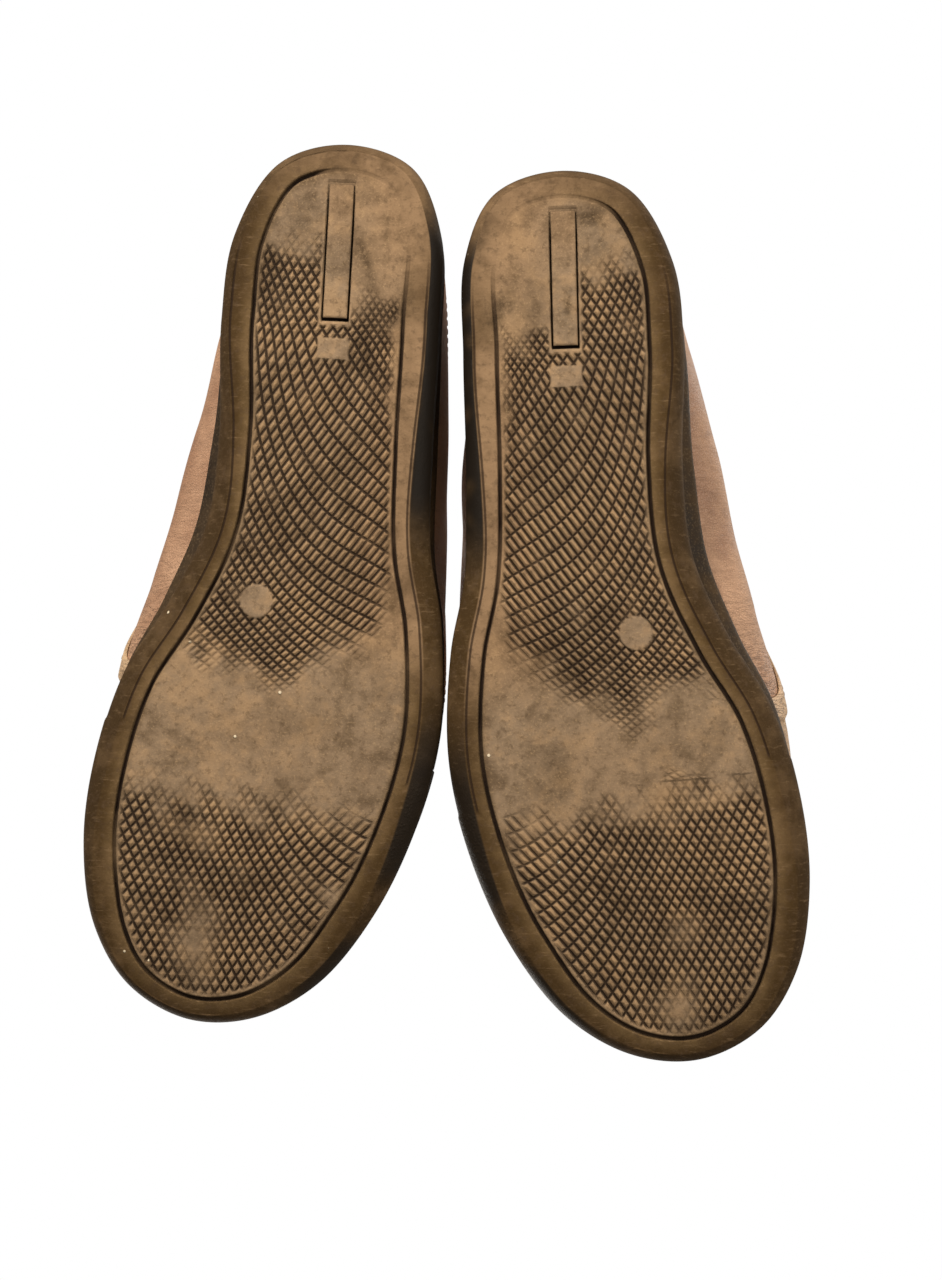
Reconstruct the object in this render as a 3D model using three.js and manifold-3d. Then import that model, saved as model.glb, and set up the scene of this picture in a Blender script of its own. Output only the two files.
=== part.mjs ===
// A pair of ballet slippers: soft leather uppers on moulded rubber soles, standing on the ground.
// Millimetres, +Z up. Toes point along -Y. The right slipper stands at +X and the left one at -X,
// with their outer sides next to each other and their toes turned apart.
//
// Slipper frame: x runs across, positive towards the inner (medial) side, and the distance "along"
// runs from the back of the heel (0) to the tip of the toe (soleLength) and is stored as -y.
import * as THREE from "three";
import { mergeVertices } from "three/addons/utils/BufferGeometryUtils.js";
import Module from "manifold-3d";

const { clamp, lerp, smoothstep } = THREE.MathUtils;
const wasm = await Module();
wasm.setup();

// ---- driving dimensions ----
const soleLength = 260;
const soleWidth = 99.6;
const foreThickness = 7; // rubber under the ball of the foot
const heelThickness = 12; // rubber under the heel
const toeSpring = 8; // lift of the sole at the tip of the toe
const springStart = 0.72; // share of the length at which the lift begins
const clearance = 0.3; // running gap between neighbouring pieces

const leatherThickness = 1.2;
const stiffenerThickness = 0.8;
const liningThickness = 0.8;
const lastingMargin = 9; // turned-in edge of the upper under the insole board
const bandThickness = 2.5;
const bandEdge = 0.4; // step from the edge of the sole in to the foot of the band
const bumperTop = 0.3; // rows that the bumper stands above the band

const channelWidth = 1.1; // groove that frames the tread
const channelDepth = 1;
const barWidth = 7; // inlaid bar in the heel
const barLength = 38.5;
const barStart = 12.5; // along, from the back of the heel
const barAcross = -1.5; // from the middle line, positive to the inner side
const barTurn = -5; // degrees
const slotDepth = 1.8;
const slotSideGap = 0.5;
const slotEndGap = 1;

const boardThickness = 2;
const sockThickness = 1.2;
const padThickness = 2;
const padStart = 15;
const padEnd = 71;
const padMargin = 6; // from the pad to the lining on both sides
const shankWidth = 12;
const shankThickness = 0.8;
const shankStart = 45;
const shankEnd = 150;
const fillerThickness = 1.8;

const heelHeight = 61; // topline at the back of the heel
const toplineHeight = 43; // topline at the throat
// How far each side of the empty upper leans out over the waist of the sole, where, and over what length.
const medialBulge = { reach: 16.5, centre: 110, spread: 39 };
const lateralBulge = { reach: 4.5, centre: 94, spread: 26 };
const crownLift = 6; // rise of the toe box between toe and throat

const bindingThickness = 0.8;
const bindingLeg = 5;
const bindingClearance = 0.45; // the folded tape stands a little off the edge it covers
const cordRadius = 0.8;
const bowReach = 12; // from the topline to the middle of the bow
const bowLoopWidth = 10;
const bowLoopThickness = 3.2;
const bowTailLength = 15;
const bowTailThickness = 1;

const stationCount = 40; // stations round the slipper, even
const toeStation = stationCount / 2;
const vampStart = 12; // station of the outer side seam
const vampEnd = 28; // station of the inner side seam
const seamGap = 0.03; // between two pieces that meet end to end, in stations
const bumperStart = 13;
const bumperEnd = 27;

const rightSplay = 8.2; // degrees that the toe turns out
const leftSplay = 6.3;
const pairGap = 1.2; // closest distance between the two soles
const leftForward = 9; // how far the left slipper stands ahead of the right one

// Layers of the upper, outwards from the inner face of the lining.
const stiffenerIn = liningThickness + clearance;
const leatherIn = stiffenerIn + stiffenerThickness + clearance;
const upperThickness = leatherIn + leatherThickness;
const wallInset = upperThickness + clearance + bandThickness + bandEdge + clearance;

// Outline of the sole as shares of its width and length, from the back of the heel round the outer side.
const outlineShares = [
  [0.01, 0], [-0.19, 0.017], [-0.296, 0.085], [-0.331, 0.192], [-0.361, 0.327], [-0.397, 0.435],
  [-0.462, 0.519], [-0.502, 0.635], [-0.472, 0.738], [-0.384, 0.846], [-0.241, 0.937], [-0.06, 0.988],
  [0.13, 1], [0.311, 0.971], [0.432, 0.908], [0.492, 0.815], [0.492, 0.715], [0.442, 0.615],
  [0.341, 0.531], [0.266, 0.442], [0.266, 0.338], [0.306, 0.212], [0.302, 0.115], [0.2, 0.03],
];

// Opening of the slipper: shares of the width and length, and the share of the way from throat to heel height.
const toplineShares = [
  [0.005, 0.042, 1], [-0.2, 0.085, 0.85], [-0.3, 0.23, 0.3], [-0.345, 0.385, -0.05], [-0.32, 0.535, -0.12],
  [-0.21, 0.632, -0.04], [0.02, 0.665, 0], [0.24, 0.632, 0.02], [0.33, 0.53, 0.02], [0.315, 0.385, 0.12],
  [0.285, 0.23, 0.38], [0.2, 0.085, 0.88],
];

const place = (across, along, height = 0) => new THREE.Vector3(across, -along, height);
const alongOf = (point) => -point.y;

// Evenly spaced points on a closed smooth curve, one for each station.
function closedLoop(points) {
  const curve = new THREE.CatmullRomCurve3(points, true, "centripetal");
  curve.arcLengthDivisions = 800;
  return curve.getSpacedPoints(stationCount).slice(0, stationCount);
}

const soleEdge = closedLoop(outlineShares.map(([a, l]) => place(a * soleWidth, l * soleLength)));
const topline = closedLoop(
  toplineShares.map(([a, l, h]) => place(a * soleWidth, l * soleLength, lerp(toplineHeight, heelHeight, h))),
);

// Unit vector into the sole at each station.
const inward = soleEdge.map((_, i) => {
  const before = soleEdge[(i + stationCount - 1) % stationCount];
  const after = soleEdge[(i + 1) % stationCount];
  return new THREE.Vector3(before.y - after.y, after.x - before.x, 0).normalize();
});

// Lift of the ground face towards the toe.
function toeRise(along) {
  const start = springStart * soleLength;
  return toeSpring * Math.max(0, (along - start) / (soleLength - start)) ** 2;
}

// Height of the rubber's upper face.
function soleTop(along) {
  const slope = smoothstep(along, 0.22 * soleLength, 0.56 * soleLength);
  return toeRise(along) + lerp(heelThickness, foreThickness, slope);
}

// A loop parallel to the edge of the sole; height is a function of the distance along.
function parallelLoop(inset, height) {
  return soleEdge.map((edge, i) => {
    const point = edge.clone().addScaledVector(inward[i], typeof inset === "function" ? inset(i) : inset);
    point.z = height(alongOf(point));
    return point;
  });
}

// ---- closed meshes ----
function meshGeometry(points, triangles) {
  const geometry = new THREE.BufferGeometry();
  geometry.setAttribute("position", new THREE.Float32BufferAttribute(points.flatMap((p) => [p.x, p.y, p.z]), 3));
  geometry.setIndex(triangles.flat());
  const merged = mergeVertices(geometry, 1e-4);
  merged.computeVertexNormals();
  return merged;
}

function quad(a, b, c, d) {
  return [[a, b, c], [a, c, d]];
}

// Closed loops of equal count, from the middle of the underside round the edge to the middle of the top.
// The first and the last loop are filled by rungs from the outer to the inner side.
function ringSolid(rings) {
  const count = rings[0].length;
  const half = count / 2;
  const triangles = [];
  for (let k = 0; k + 1 < rings.length; k++) {
    for (let i = 0; i < count; i++) {
      const next = (i + 1) % count;
      triangles.push(...quad(k * count + i, k * count + next, (k + 1) * count + next, (k + 1) * count + i));
    }
  }
  const fill = (first, up) => {
    const rungs = [[0, 1, count - 1], [half - 1, half, half + 1]];
    for (let i = 1; i < half - 1; i++) rungs.push(...quad(i, i + 1, count - i - 1, count - i));
    for (const [a, b, c] of rungs) triangles.push(up ? [first + a, first + b, first + c] : [first + a, first + c, first + b]);
  };
  fill(0, false);
  fill((rings.length - 1) * count, true);
  return meshGeometry(rings.flat(), triangles);
}

// A sheet with thickness: inner[i][k] and outer[i][k] are its two faces, station by station.
function sheetSolid(inner, outer, closed = false) {
  const stations = inner.length;
  const rows = inner[0].length;
  const points = [...outer.flat(), ...inner.flat()];
  const out = (i, k) => (i % stations) * rows + k;
  const back = (i, k) => stations * rows + out(i, k);
  const triangles = [];
  const spans = closed ? stations : stations - 1;
  for (let i = 0; i < spans; i++) {
    for (let k = 0; k + 1 < rows; k++) {
      triangles.push(...quad(out(i, k), out(i + 1, k), out(i + 1, k + 1), out(i, k + 1)));
      triangles.push(...quad(back(i, k), back(i, k + 1), back(i + 1, k + 1), back(i + 1, k)));
    }
    triangles.push(...quad(out(i, 0), back(i, 0), back(i + 1, 0), out(i + 1, 0)));
    triangles.push(...quad(out(i, rows - 1), out(i + 1, rows - 1), back(i + 1, rows - 1), back(i, rows - 1)));
  }
  if (!closed) {
    const last = stations - 1;
    for (let k = 0; k + 1 < rows; k++) {
      triangles.push(...quad(out(0, k), out(0, k + 1), back(0, k + 1), back(0, k)));
      triangles.push(...quad(out(last, k), back(last, k), back(last, k + 1), out(last, k + 1)));
    }
  }
  return meshGeometry(points, triangles);
}

// A closed tube through closed sections.
function hoopSolid(sections) {
  const sides = sections[0].length;
  const triangles = [];
  sections.forEach((_, i) => {
    const next = (i + 1) % sections.length;
    for (let k = 0; k < sides; k++) {
      const up = (k + 1) % sides;
      triangles.push(...quad(i * sides + k, next * sides + k, next * sides + up, i * sides + up));
    }
  });
  return meshGeometry(sections.flat(), triangles);
}

function solidOf(geometry) {
  const bare = geometry.clone();
  bare.deleteAttribute("normal");
  bare.deleteAttribute("uv");
  const merged = mergeVertices(bare, 1e-4);
  const mesh = new wasm.Mesh({
    numProp: 3,
    vertProperties: merged.attributes.position.array,
    triVerts: new Uint32Array(merged.index.array),
  });
  return new wasm.Manifold(mesh);
}

function cut(geometry, tool) {
  const mesh = solidOf(geometry).subtract(solidOf(tool)).getMesh();
  const result = new THREE.BufferGeometry();
  result.setAttribute("position", new THREE.BufferAttribute(mesh.vertProperties, 3));
  result.setIndex(new THREE.BufferAttribute(mesh.triVerts, 1));
  result.computeVertexNormals();
  return result;
}

// ---- the skin of the upper ----
// Rows of the skin, from the lasting margin under the board to the topline.
const marginRow = 0;
const featherRow = 1;
const bandRow = 2;
const bulgeRow = 3;
const crownRow = 5;
const toplineRow = 7;
const profileShares = [0, 0.145, 1 / 3, 0.5, 2 / 3, 0.83, 1]; // from the feather edge to the topline

const skinFloor = (along) => soleTop(along) + clearance + upperThickness;

function toeness(station) {
  return smoothstep(alongOf(soleEdge[station]), 0.72 * soleLength, 0.97 * soleLength);
}

// Lean of the side over the waist, as a bell curve of the distance along.
function bulge(station) {
  const { reach, centre, spread } = station > toeStation ? medialBulge : lateralBulge;
  return reach * Math.exp(-(((alongOf(soleEdge[station]) - centre) / spread) ** 2) / 2);
}

function profile(station) {
  const along = alongOf(soleEdge[station]);
  const toe = toeness(station);
  const feather = parallelLoop(wallInset, skinFloor)[station];
  const side = soleEdge[station].clone().addScaledVector(inward[station], lerp(wallInset - 1, wallInset + 2.5, toe) - bulge(station));
  side.z = skinFloor(along) + lerp(13, 8, toe);
  const crown = side.clone().lerp(topline[station], lerp(0.52, 0.42, toe));
  crown.z += crownLift * toe;
  crown.addScaledVector(inward[station], -1.5);
  return new THREE.CatmullRomCurve3([feather, side, crown, topline[station]], false, "centripetal");
}

const marginLoop = parallelLoop(wallInset + lastingMargin, skinFloor);
const skin = soleEdge.map((_, i) => {
  const curve = profile(i);
  return [marginLoop[i], ...profileShares.map((share) => curve.getPoint(share))];
});

// Outward direction at each point of the skin, lengthened at the feather edge so that layers stay parallel.
const skinNormal = skin.map((column, i) => {
  const before = skin[(i + stationCount - 1) % stationCount];
  const after = skin[(i + 1) % stationCount];
  return column.map((point, row) => {
    const round = after[row].clone().sub(before[row]);
    const spans = [];
    if (row > 0) spans.push(point.clone().sub(column[row - 1]));
    if (row < toplineRow) spans.push(column[row + 1].clone().sub(point));
    const faces = spans.map((span) => round.clone().cross(span).normalize());
    const mean = faces.reduce((sum, face) => sum.add(face), new THREE.Vector3()).normalize();
    return mean.multiplyScalar(1 / Math.max(0.6, mean.dot(faces[0])));
  });
});

// A point on the skin: station and row may lie between grid lines, offset is the distance outwards.
function onSkin(station, row, offset) {
  const low = Math.min(Math.floor(row), toplineRow - 1);
  const left = Math.floor(station);
  const corner = (i, j) => {
    const column = ((i % stationCount) + stationCount) % stationCount;
    return skin[column][j].clone().addScaledVector(skinNormal[column][j], offset);
  };
  const lower = corner(left, low).lerp(corner(left + 1, low), station - left);
  const upper = corner(left, low + 1).lerp(corner(left + 1, low + 1), station - left);
  return lower.lerp(upper, row - low);
}

// Leather lies on the stiffener low down and closes on to the lining at the topline.
function leatherFace(row) {
  return lerp(leatherIn, stiffenerIn, smoothstep(row, crownRow, toplineRow));
}
const leatherTop = (row) => leatherFace(row) + leatherThickness;

// Stations between two limits, with every grid line in between.
function stationsBetween(start, end) {
  const list = [start];
  for (let i = Math.floor(start) + 1; i < end; i++) if (i - start > 0.05 && end - i > 0.05) list.push(i);
  return [...list, end];
}

function rowsBetween(start, end) {
  return stationsBetween(start, end);
}

// A layer of the upper between two stations and two rows.
function layer(stations, rows, face, back) {
  const sheet = (offset) => stations.map((s) => rows.map((row) => onSkin(s, row, offset(row))));
  return sheetSolid(sheet(face), sheet(back));
}

// The row that lies a given distance below the topline at a station.
function rowBelowTopline(station, distance) {
  const span = onSkin(station, toplineRow, 0).distanceTo(onSkin(station, toplineRow - 1, 0));
  const first = distance / span;
  if (first <= 1) return toplineRow - first;
  const second = onSkin(station, toplineRow - 1, 0).distanceTo(onSkin(station, toplineRow - 2, 0));
  return toplineRow - 1 - clamp((distance - span) / second, 0, 1);
}

// ---- sole ----
// The channel keeps a steady distance from the edge and comes nearer to it at toe and heel.
function channelInset(station) {
  const along = alongOf(soleEdge[station]) / soleLength;
  return 10 - 2.6 * smoothstep(along, 0.85, 1) - 1.6 * (1 - smoothstep(along, 0, 0.2));
}

// The walls flare above the waist and stand upright at toe and heel.
function wallFlare(station) {
  const along = alongOf(soleEdge[station]) / soleLength;
  return lerp(3.2, 5.6, smoothstep(along, 0.2, 0.42) * (1 - smoothstep(along, 0.68, 0.9)));
}

function barFrame() {
  const frame = new THREE.Matrix4().makeRotationZ(THREE.MathUtils.degToRad(barTurn));
  return frame.setPosition(place(barAcross, barStart + barLength / 2));
}

function outsole() {
  const level = (height) => (along) => toeRise(along) + height;
  const inner = (i) => channelInset(i) + channelWidth / 2;
  const outer = (i) => channelInset(i) - channelWidth / 2;
  const body = ringSolid([
    parallelLoop(inner, level(0)),
    parallelLoop(inner, level(channelDepth)),
    parallelLoop(outer, level(channelDepth)),
    parallelLoop(outer, level(0)),
    parallelLoop(wallFlare, level(0)),
    parallelLoop((i) => wallFlare(i) * 0.4, level(1.6)),
    parallelLoop(0, level(foreThickness * 0.75)),
    parallelLoop(0, soleTop),
    parallelLoop(wallInset, soleTop),
    parallelLoop(wallInset + lastingMargin, soleTop),
  ]);
  const slot = new THREE.BoxGeometry(barWidth + 2 * slotSideGap, barLength + 2 * slotEndGap, 2 * slotDepth);
  return cut(body, slot.applyMatrix4(barFrame()));
}

function treadBar() {
  const bar = new THREE.BoxGeometry(barWidth, barLength, slotDepth - 2 * clearance);
  return bar.applyMatrix4(barFrame()).translate(0, 0, slotDepth / 2);
}

// A strip round the foot of the upper, standing on the edge of the sole.
function footStrip(start, end, topRow) {
  const offset = upperThickness + clearance;
  const inner = [];
  const outer = [];
  for (const s of stationsBetween(start, end)) {
    const low = onSkin(s, featherRow, offset);
    const high = onSkin(s, bandRow, offset);
    const seat = soleTop(alongOf(low)) + clearance;
    const wall = low.clone().lerp(high, clamp((seat - low.z) / (high.z - low.z), 0.03, 0.4));
    const left = Math.floor(s);
    const edge = (i) => {
      const column = ((i % stationCount) + stationCount) % stationCount;
      return soleEdge[column].clone().addScaledVector(inward[column], bandEdge);
    };
    const foot = edge(left).lerp(edge(left + 1), s - left);
    foot.z = soleTop(alongOf(foot)) + clearance;
    wall.z = Math.max(wall.z, foot.z);
    const rows = topRow > bandRow ? [bandRow, topRow] : [bandRow];
    inner.push([wall, ...rows.map((row) => onSkin(s, row, offset))]);
    outer.push([foot, ...rows.map((row) => onSkin(s, row, offset + bandThickness))]);
  }
  return sheetSolid(inner, outer);
}

const foxingBand = () => footStrip(bumperEnd + seamGap, stationCount + bumperStart - seamGap, bandRow);
const toeBumper = () => footStrip(bumperStart, bumperEnd, bandRow + bumperTop);

// ---- inside the bottom ----
function plate(inset, base, thickness) {
  return ringSolid([parallelLoop(inset, base), parallelLoop(inset, (a) => base(a) + thickness)]);
}

const fillerBase = (along) => soleTop(along) + clearance;
const boardBase = (along) => skinFloor(along) + clearance;
const boardTop = (along) => boardBase(along) + boardThickness;

// The sock lining rises over the heel pad.
function sockBase(along) {
  const over = 1 - smoothstep(along, padEnd + 3, padEnd + 28);
  return boardTop(along) + clearance + (padThickness + clearance) * over;
}

const bottomFiller = () => plate(wallInset + lastingMargin + clearance, fillerBase, fillerThickness);
const insoleBoard = () => plate(wallInset + 1.2, boardBase, boardThickness);
const sockLining = () => plate(wallInset + 2.4, sockBase, sockThickness);

// A flat piece with round ends whose underside follows a height; middle is where its centre line lies across.
function roundedStrip(start, end, width, middle, base, thickness) {
  const length = end - start;
  const corner = new THREE.Shape();
  const side = width / 2;
  corner.moveTo(-side, -start - side);
  corner.lineTo(-side, -end + side);
  corner.absarc(0, -end + side, side, Math.PI, 2 * Math.PI, false);
  corner.lineTo(side, -start - side);
  corner.absarc(0, -start - side, side, 0, Math.PI, false);
  corner.autoClose = true;
  const count = Math.max(20, 2 * Math.ceil(length / 8));
  const loop = corner.getSpacedPoints(count).slice(0, count);
  const first = loop.reduce((best, p, i) => (p.y > loop[best].y ? i : best), 0);
  const turned = [...loop.slice(first), ...loop.slice(0, first)];
  const ring = (lift) => turned.map((p) => new THREE.Vector3(p.x + middle, p.y, base(-p.y) + lift));
  return ringSolid([ring(0), ring(thickness)]);
}


// The outer and inner limits across, at an inset from the edge of the sole, between two distances along.
function roomAcross(inset, start, end) {
  const edge = parallelLoop(inset, () => 0).filter((point) => alongOf(point) > start && alongOf(point) < end);
  const across = edge.map((point) => point.x);
  return [Math.max(...across.filter((x) => x < 0)), Math.min(...across.filter((x) => x > 0))];
}

// The shank lies in the middle of the filler's waist.
function shank() {
  const [outer, inner] = roomAcross(wallInset + lastingMargin + clearance, shankStart, shankEnd);
  const base = (along) => fillerBase(along) + fillerThickness + clearance;
  return roundedStrip(shankStart, shankEnd, shankWidth, (outer + inner) / 2, base, shankThickness);
}

// The heel pad leaves the same margin on both sides of the heel seat.
function heelPad() {
  const [outer, inner] = roomAcross(wallInset, padStart, padEnd);
  const width = inner - outer - 2 * padMargin;
  return roundedStrip(padStart, padEnd, width, (outer + inner) / 2, (a) => boardTop(a) + clearance, padThickness);
}

// ---- upper ----
const leatherRows = rowsBetween(marginRow, toplineRow);
const backSeam = 0;

const leatherPiece = (start, end) => layer(stationsBetween(start, end), leatherRows, leatherFace, leatherTop);
const liningPiece = (start, end) => layer(stationsBetween(start, end), leatherRows, () => 0, () => liningThickness);
const stiffenerPiece = (start, end, top) =>
  layer(stationsBetween(start, end), rowsBetween(marginRow, top), () => stiffenerIn, () => stiffenerIn + stiffenerThickness);

const vamp = () => leatherPiece(vampStart, vampEnd);
const lateralQuarter = () => leatherPiece(backSeam + seamGap, vampStart - seamGap);
const medialQuarter = () => leatherPiece(vampEnd + seamGap, stationCount - seamGap);
const vampLining = () => liningPiece(vampStart + 1, vampEnd - 1);
const quarterLining = () => liningPiece(vampEnd - 1 + seamGap, stationCount + vampStart + 1 - seamGap);
const toePuff = () => stiffenerPiece(toeStation - 5, toeStation + 5, crownRow - 1);
const heelCounter = () => stiffenerPiece(stationCount - 5, stationCount + 5, crownRow);

function heelStrip() {
  const stations = stationsBetween(stationCount - 0.55, stationCount + 0.55);
  const low = bandRow + 0.12;
  const high = rowBelowTopline(0, bindingLeg + 1);
  return layer(stations, rowsBetween(low, high), (row) => leatherTop(row) + clearance, (row) => leatherTop(row) + clearance + 0.9);
}

// A point over the topline: rise is measured along the upper, offset outwards.
function overTopline(station, rise, offset) {
  const edge = onSkin(station, toplineRow, offset);
  const up = onSkin(station, toplineRow, 0).sub(onSkin(station, toplineRow - 0.5, 0)).normalize();
  return edge.addScaledVector(up, rise);
}

// Folded tape over the raw edge, with room in its fold for the drawstring.
function toplineBinding() {
  const outside = leatherTop(toplineRow) + bindingClearance;
  const inside = -bindingClearance;
  const room = 4 * clearance + 2 * cordRadius;
  const face = [];
  const back = [];
  for (let i = 0; i < stationCount; i++) {
    const low = rowBelowTopline(i, bindingLeg);
    const legOutside = leatherTop(low) + bindingClearance;
    face.push([
      onSkin(i, low, legOutside + bindingThickness),
      overTopline(i, room + bindingThickness, outside + bindingThickness),
      overTopline(i, room + bindingThickness, inside - bindingThickness),
      onSkin(i, low, inside - bindingThickness),
    ]);
    back.push([
      onSkin(i, low, legOutside),
      overTopline(i, room, outside),
      overTopline(i, room, inside),
      onSkin(i, low, inside),
    ]);
  }
  return sheetSolid(back, face, true);
}

function drawstring() {
  const middle = leatherTop(toplineRow) / 2;
  const height = 2 * clearance + cordRadius;
  const sections = [];
  for (let i = 0; i < stationCount; i++) {
    const section = [];
    for (let k = 0; k < 6; k++) {
      const angle = (k * Math.PI) / 3;
      section.push(overTopline(i, height + cordRadius * Math.sin(angle), middle + cordRadius * Math.cos(angle)));
    }
    sections.push(section);
  }
  return hoopSolid(sections);
}

// ---- bow ----
function bowKnot() {
  const row = rowBelowTopline(toeStation, bowReach);
  const seat = onSkin(toeStation, row, leatherTop(row));
  const out = onSkin(toeStation, row, leatherTop(row) + 1).sub(seat).normalize();
  const forward = onSkin(toeStation, row - 0.2, 0).sub(onSkin(toeStation, row, 0)).normalize();
  const side = new THREE.Vector3().crossVectors(forward, out).normalize();
  const frame = new THREE.Matrix4().makeBasis(side, forward, out);
  const size = new THREE.Vector3(4, 3.8, 2.6);
  frame.setPosition(seat.addScaledVector(out, size.z + 2 * clearance));
  return new THREE.SphereGeometry(1, 12, 8).scale(size.x, size.y, size.z).applyMatrix4(frame);
}

// One loop of the bow, widening from the knot; side is -1 for the outer and +1 for the inner loop.
function bowLoop(side) {
  const reach = [0.5, 0.95, 1.5, 2];
  const width = [0.55, 0.9, 1, 0.6].map((share) => (share * bowLoopWidth) / 2);
  const stations = reach.map((step, i) => [toeStation + side * step, width[i]]);
  if (side < 0) stations.reverse();
  const sheet = (extra) =>
    stations.map(([s, half]) =>
      [bowReach + half, bowReach, bowReach - half].map((distance, k) => {
        const row = rowBelowTopline(s, distance);
        const swell = extra * (k === 1 ? bowLoopThickness : bowLoopThickness * 0.6);
        return onSkin(s, row, leatherTop(row) + 2 * clearance + swell);
      }),
    );
  return sheetSolid(sheet(0), sheet(1));
}

function bowTail(side) {
  const start = bowReach + bowLoopWidth / 2 + 1;
  const distances = [start + bowTailLength, start + bowTailLength / 2, start];
  const sheet = (extra) => {
    const columns = [-0.2, 0.2].map((step) =>
      distances.map((distance, k) => {
        const s = toeStation + side * (0.95 - 0.28 * k) + step;
        const row = rowBelowTopline(s, distance);
        return onSkin(s, row, leatherTop(row) + 2 * clearance + extra);
      }),
    );
    return columns;
  };
  return sheetSolid(sheet(0), sheet(bowTailThickness));
}

// ---- the pair ----
const finishes = {
  rubber: new THREE.MeshStandardMaterial({ color: 0x6f5a45, roughness: 0.85, metalness: 0 }),
  darkRubber: new THREE.MeshStandardMaterial({ color: 0x2c241c, roughness: 0.45, metalness: 0 }),
  leather: new THREE.MeshStandardMaterial({ color: 0xa77d64, roughness: 0.6, metalness: 0 }),
  lining: new THREE.MeshStandardMaterial({ color: 0xc9b49a, roughness: 0.75, metalness: 0 }),
  binding: new THREE.MeshStandardMaterial({ color: 0x8f6a54, roughness: 0.7, metalness: 0 }),
  board: new THREE.MeshStandardMaterial({ color: 0xb8a68a, roughness: 0.9, metalness: 0 }),
  foam: new THREE.MeshStandardMaterial({ color: 0xd9d2c0, roughness: 0.95, metalness: 0 }),
  steel: new THREE.MeshStandardMaterial({ color: 0x9a9c9e, roughness: 0.4, metalness: 1 }),
};

const pieces = {
  outsole: [outsole(), finishes.rubber],
  tread_bar: [treadBar(), finishes.rubber],
  foxing_band: [foxingBand(), finishes.darkRubber],
  toe_bumper: [toeBumper(), finishes.darkRubber],
  bottom_filler: [bottomFiller(), finishes.foam],
  shank: [shank(), finishes.steel],
  insole_board: [insoleBoard(), finishes.board],
  heel_pad: [heelPad(), finishes.foam],
  sock_lining: [sockLining(), finishes.lining],
  vamp: [vamp(), finishes.leather],
  lateral_quarter: [lateralQuarter(), finishes.leather],
  medial_quarter: [medialQuarter(), finishes.leather],
  heel_strip: [heelStrip(), finishes.leather],
  toe_puff: [toePuff(), finishes.board],
  heel_counter: [heelCounter(), finishes.board],
  vamp_lining: [vampLining(), finishes.lining],
  quarter_lining: [quarterLining(), finishes.lining],
  topline_binding: [toplineBinding(), finishes.binding],
  drawstring: [drawstring(), finishes.binding],
  bow_knot: [bowKnot(), finishes.binding],
  bow_loop_lateral: [bowLoop(-1), finishes.binding],
  bow_loop_medial: [bowLoop(1), finishes.binding],
  bow_tail_lateral: [bowTail(-1), finishes.binding],
  bow_tail_medial: [bowTail(1), finishes.binding],
};

// One slipper: turned about the middle of its sole; the left one is the mirror image of the right one.
function slipper(name, mirror, splay) {
  const shoe = new THREE.Group();
  shoe.name = name;
  for (const [piece, [geometry, material]] of Object.entries(pieces)) {
    const mesh = new THREE.Mesh(geometry.clone().translate(0, soleLength / 2, 0), material);
    mesh.name = name + "_" + piece;
    shoe.add(mesh);
  }
  shoe.scale.x = mirror;
  shoe.rotation.z = THREE.MathUtils.degToRad(mirror * splay);
  return shoe;
}

const pair = new THREE.Group();
const right = slipper("right", 1, rightSplay);
const left = slipper("left", -1, leftSplay);
pair.add(right, left);

// Each slipper stands clear of the middle plane by half the gap; the pair is then centred on its own box.
const boxOf = (object) => new THREE.Box3().setFromObject(object, true);
right.position.x -= boxOf(right).min.x - pairGap / 2;
left.position.x -= boxOf(left).max.x + pairGap / 2;
left.position.y -= leftForward;
pair.updateMatrixWorld(true);
const middle = boxOf(pair).getCenter(new THREE.Vector3());
for (const shoe of [right, left]) {
  shoe.position.x -= middle.x;
  shoe.position.y -= middle.y;
}

export default pair;
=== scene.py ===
import math
import bpy
import numpy as np
from mathutils import Matrix, Vector


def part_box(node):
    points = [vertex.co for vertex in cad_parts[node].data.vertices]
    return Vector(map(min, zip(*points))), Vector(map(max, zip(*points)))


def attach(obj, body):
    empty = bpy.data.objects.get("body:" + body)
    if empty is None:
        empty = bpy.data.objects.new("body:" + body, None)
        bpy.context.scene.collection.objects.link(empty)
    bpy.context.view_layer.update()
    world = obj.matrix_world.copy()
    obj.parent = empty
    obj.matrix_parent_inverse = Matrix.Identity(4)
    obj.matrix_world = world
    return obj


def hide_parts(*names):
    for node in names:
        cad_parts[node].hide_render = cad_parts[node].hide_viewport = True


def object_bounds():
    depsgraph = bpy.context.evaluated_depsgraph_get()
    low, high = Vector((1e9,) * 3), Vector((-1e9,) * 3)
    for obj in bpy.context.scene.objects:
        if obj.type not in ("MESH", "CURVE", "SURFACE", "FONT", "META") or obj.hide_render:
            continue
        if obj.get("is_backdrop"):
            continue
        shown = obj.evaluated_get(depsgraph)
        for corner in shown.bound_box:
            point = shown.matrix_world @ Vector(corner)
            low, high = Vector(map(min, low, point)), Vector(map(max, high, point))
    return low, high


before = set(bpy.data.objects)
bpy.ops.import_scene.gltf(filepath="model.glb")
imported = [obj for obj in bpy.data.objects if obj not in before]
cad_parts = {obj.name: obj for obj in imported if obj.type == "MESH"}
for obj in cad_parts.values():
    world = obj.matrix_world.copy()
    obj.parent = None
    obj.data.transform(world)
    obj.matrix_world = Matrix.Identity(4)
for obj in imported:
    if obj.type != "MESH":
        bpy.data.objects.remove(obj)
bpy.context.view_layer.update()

# Sizes that several pieces share, in millimetres.
# Slipper frame: across is positive to the inner side, along is the distance from the back of the heel.
# w and t stand for across and along in the formulas.
sole = {"length": 260, "width": 99.6, "fore": 7, "heel": 12, "spring": 8, "springStart": 0.72}
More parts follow.
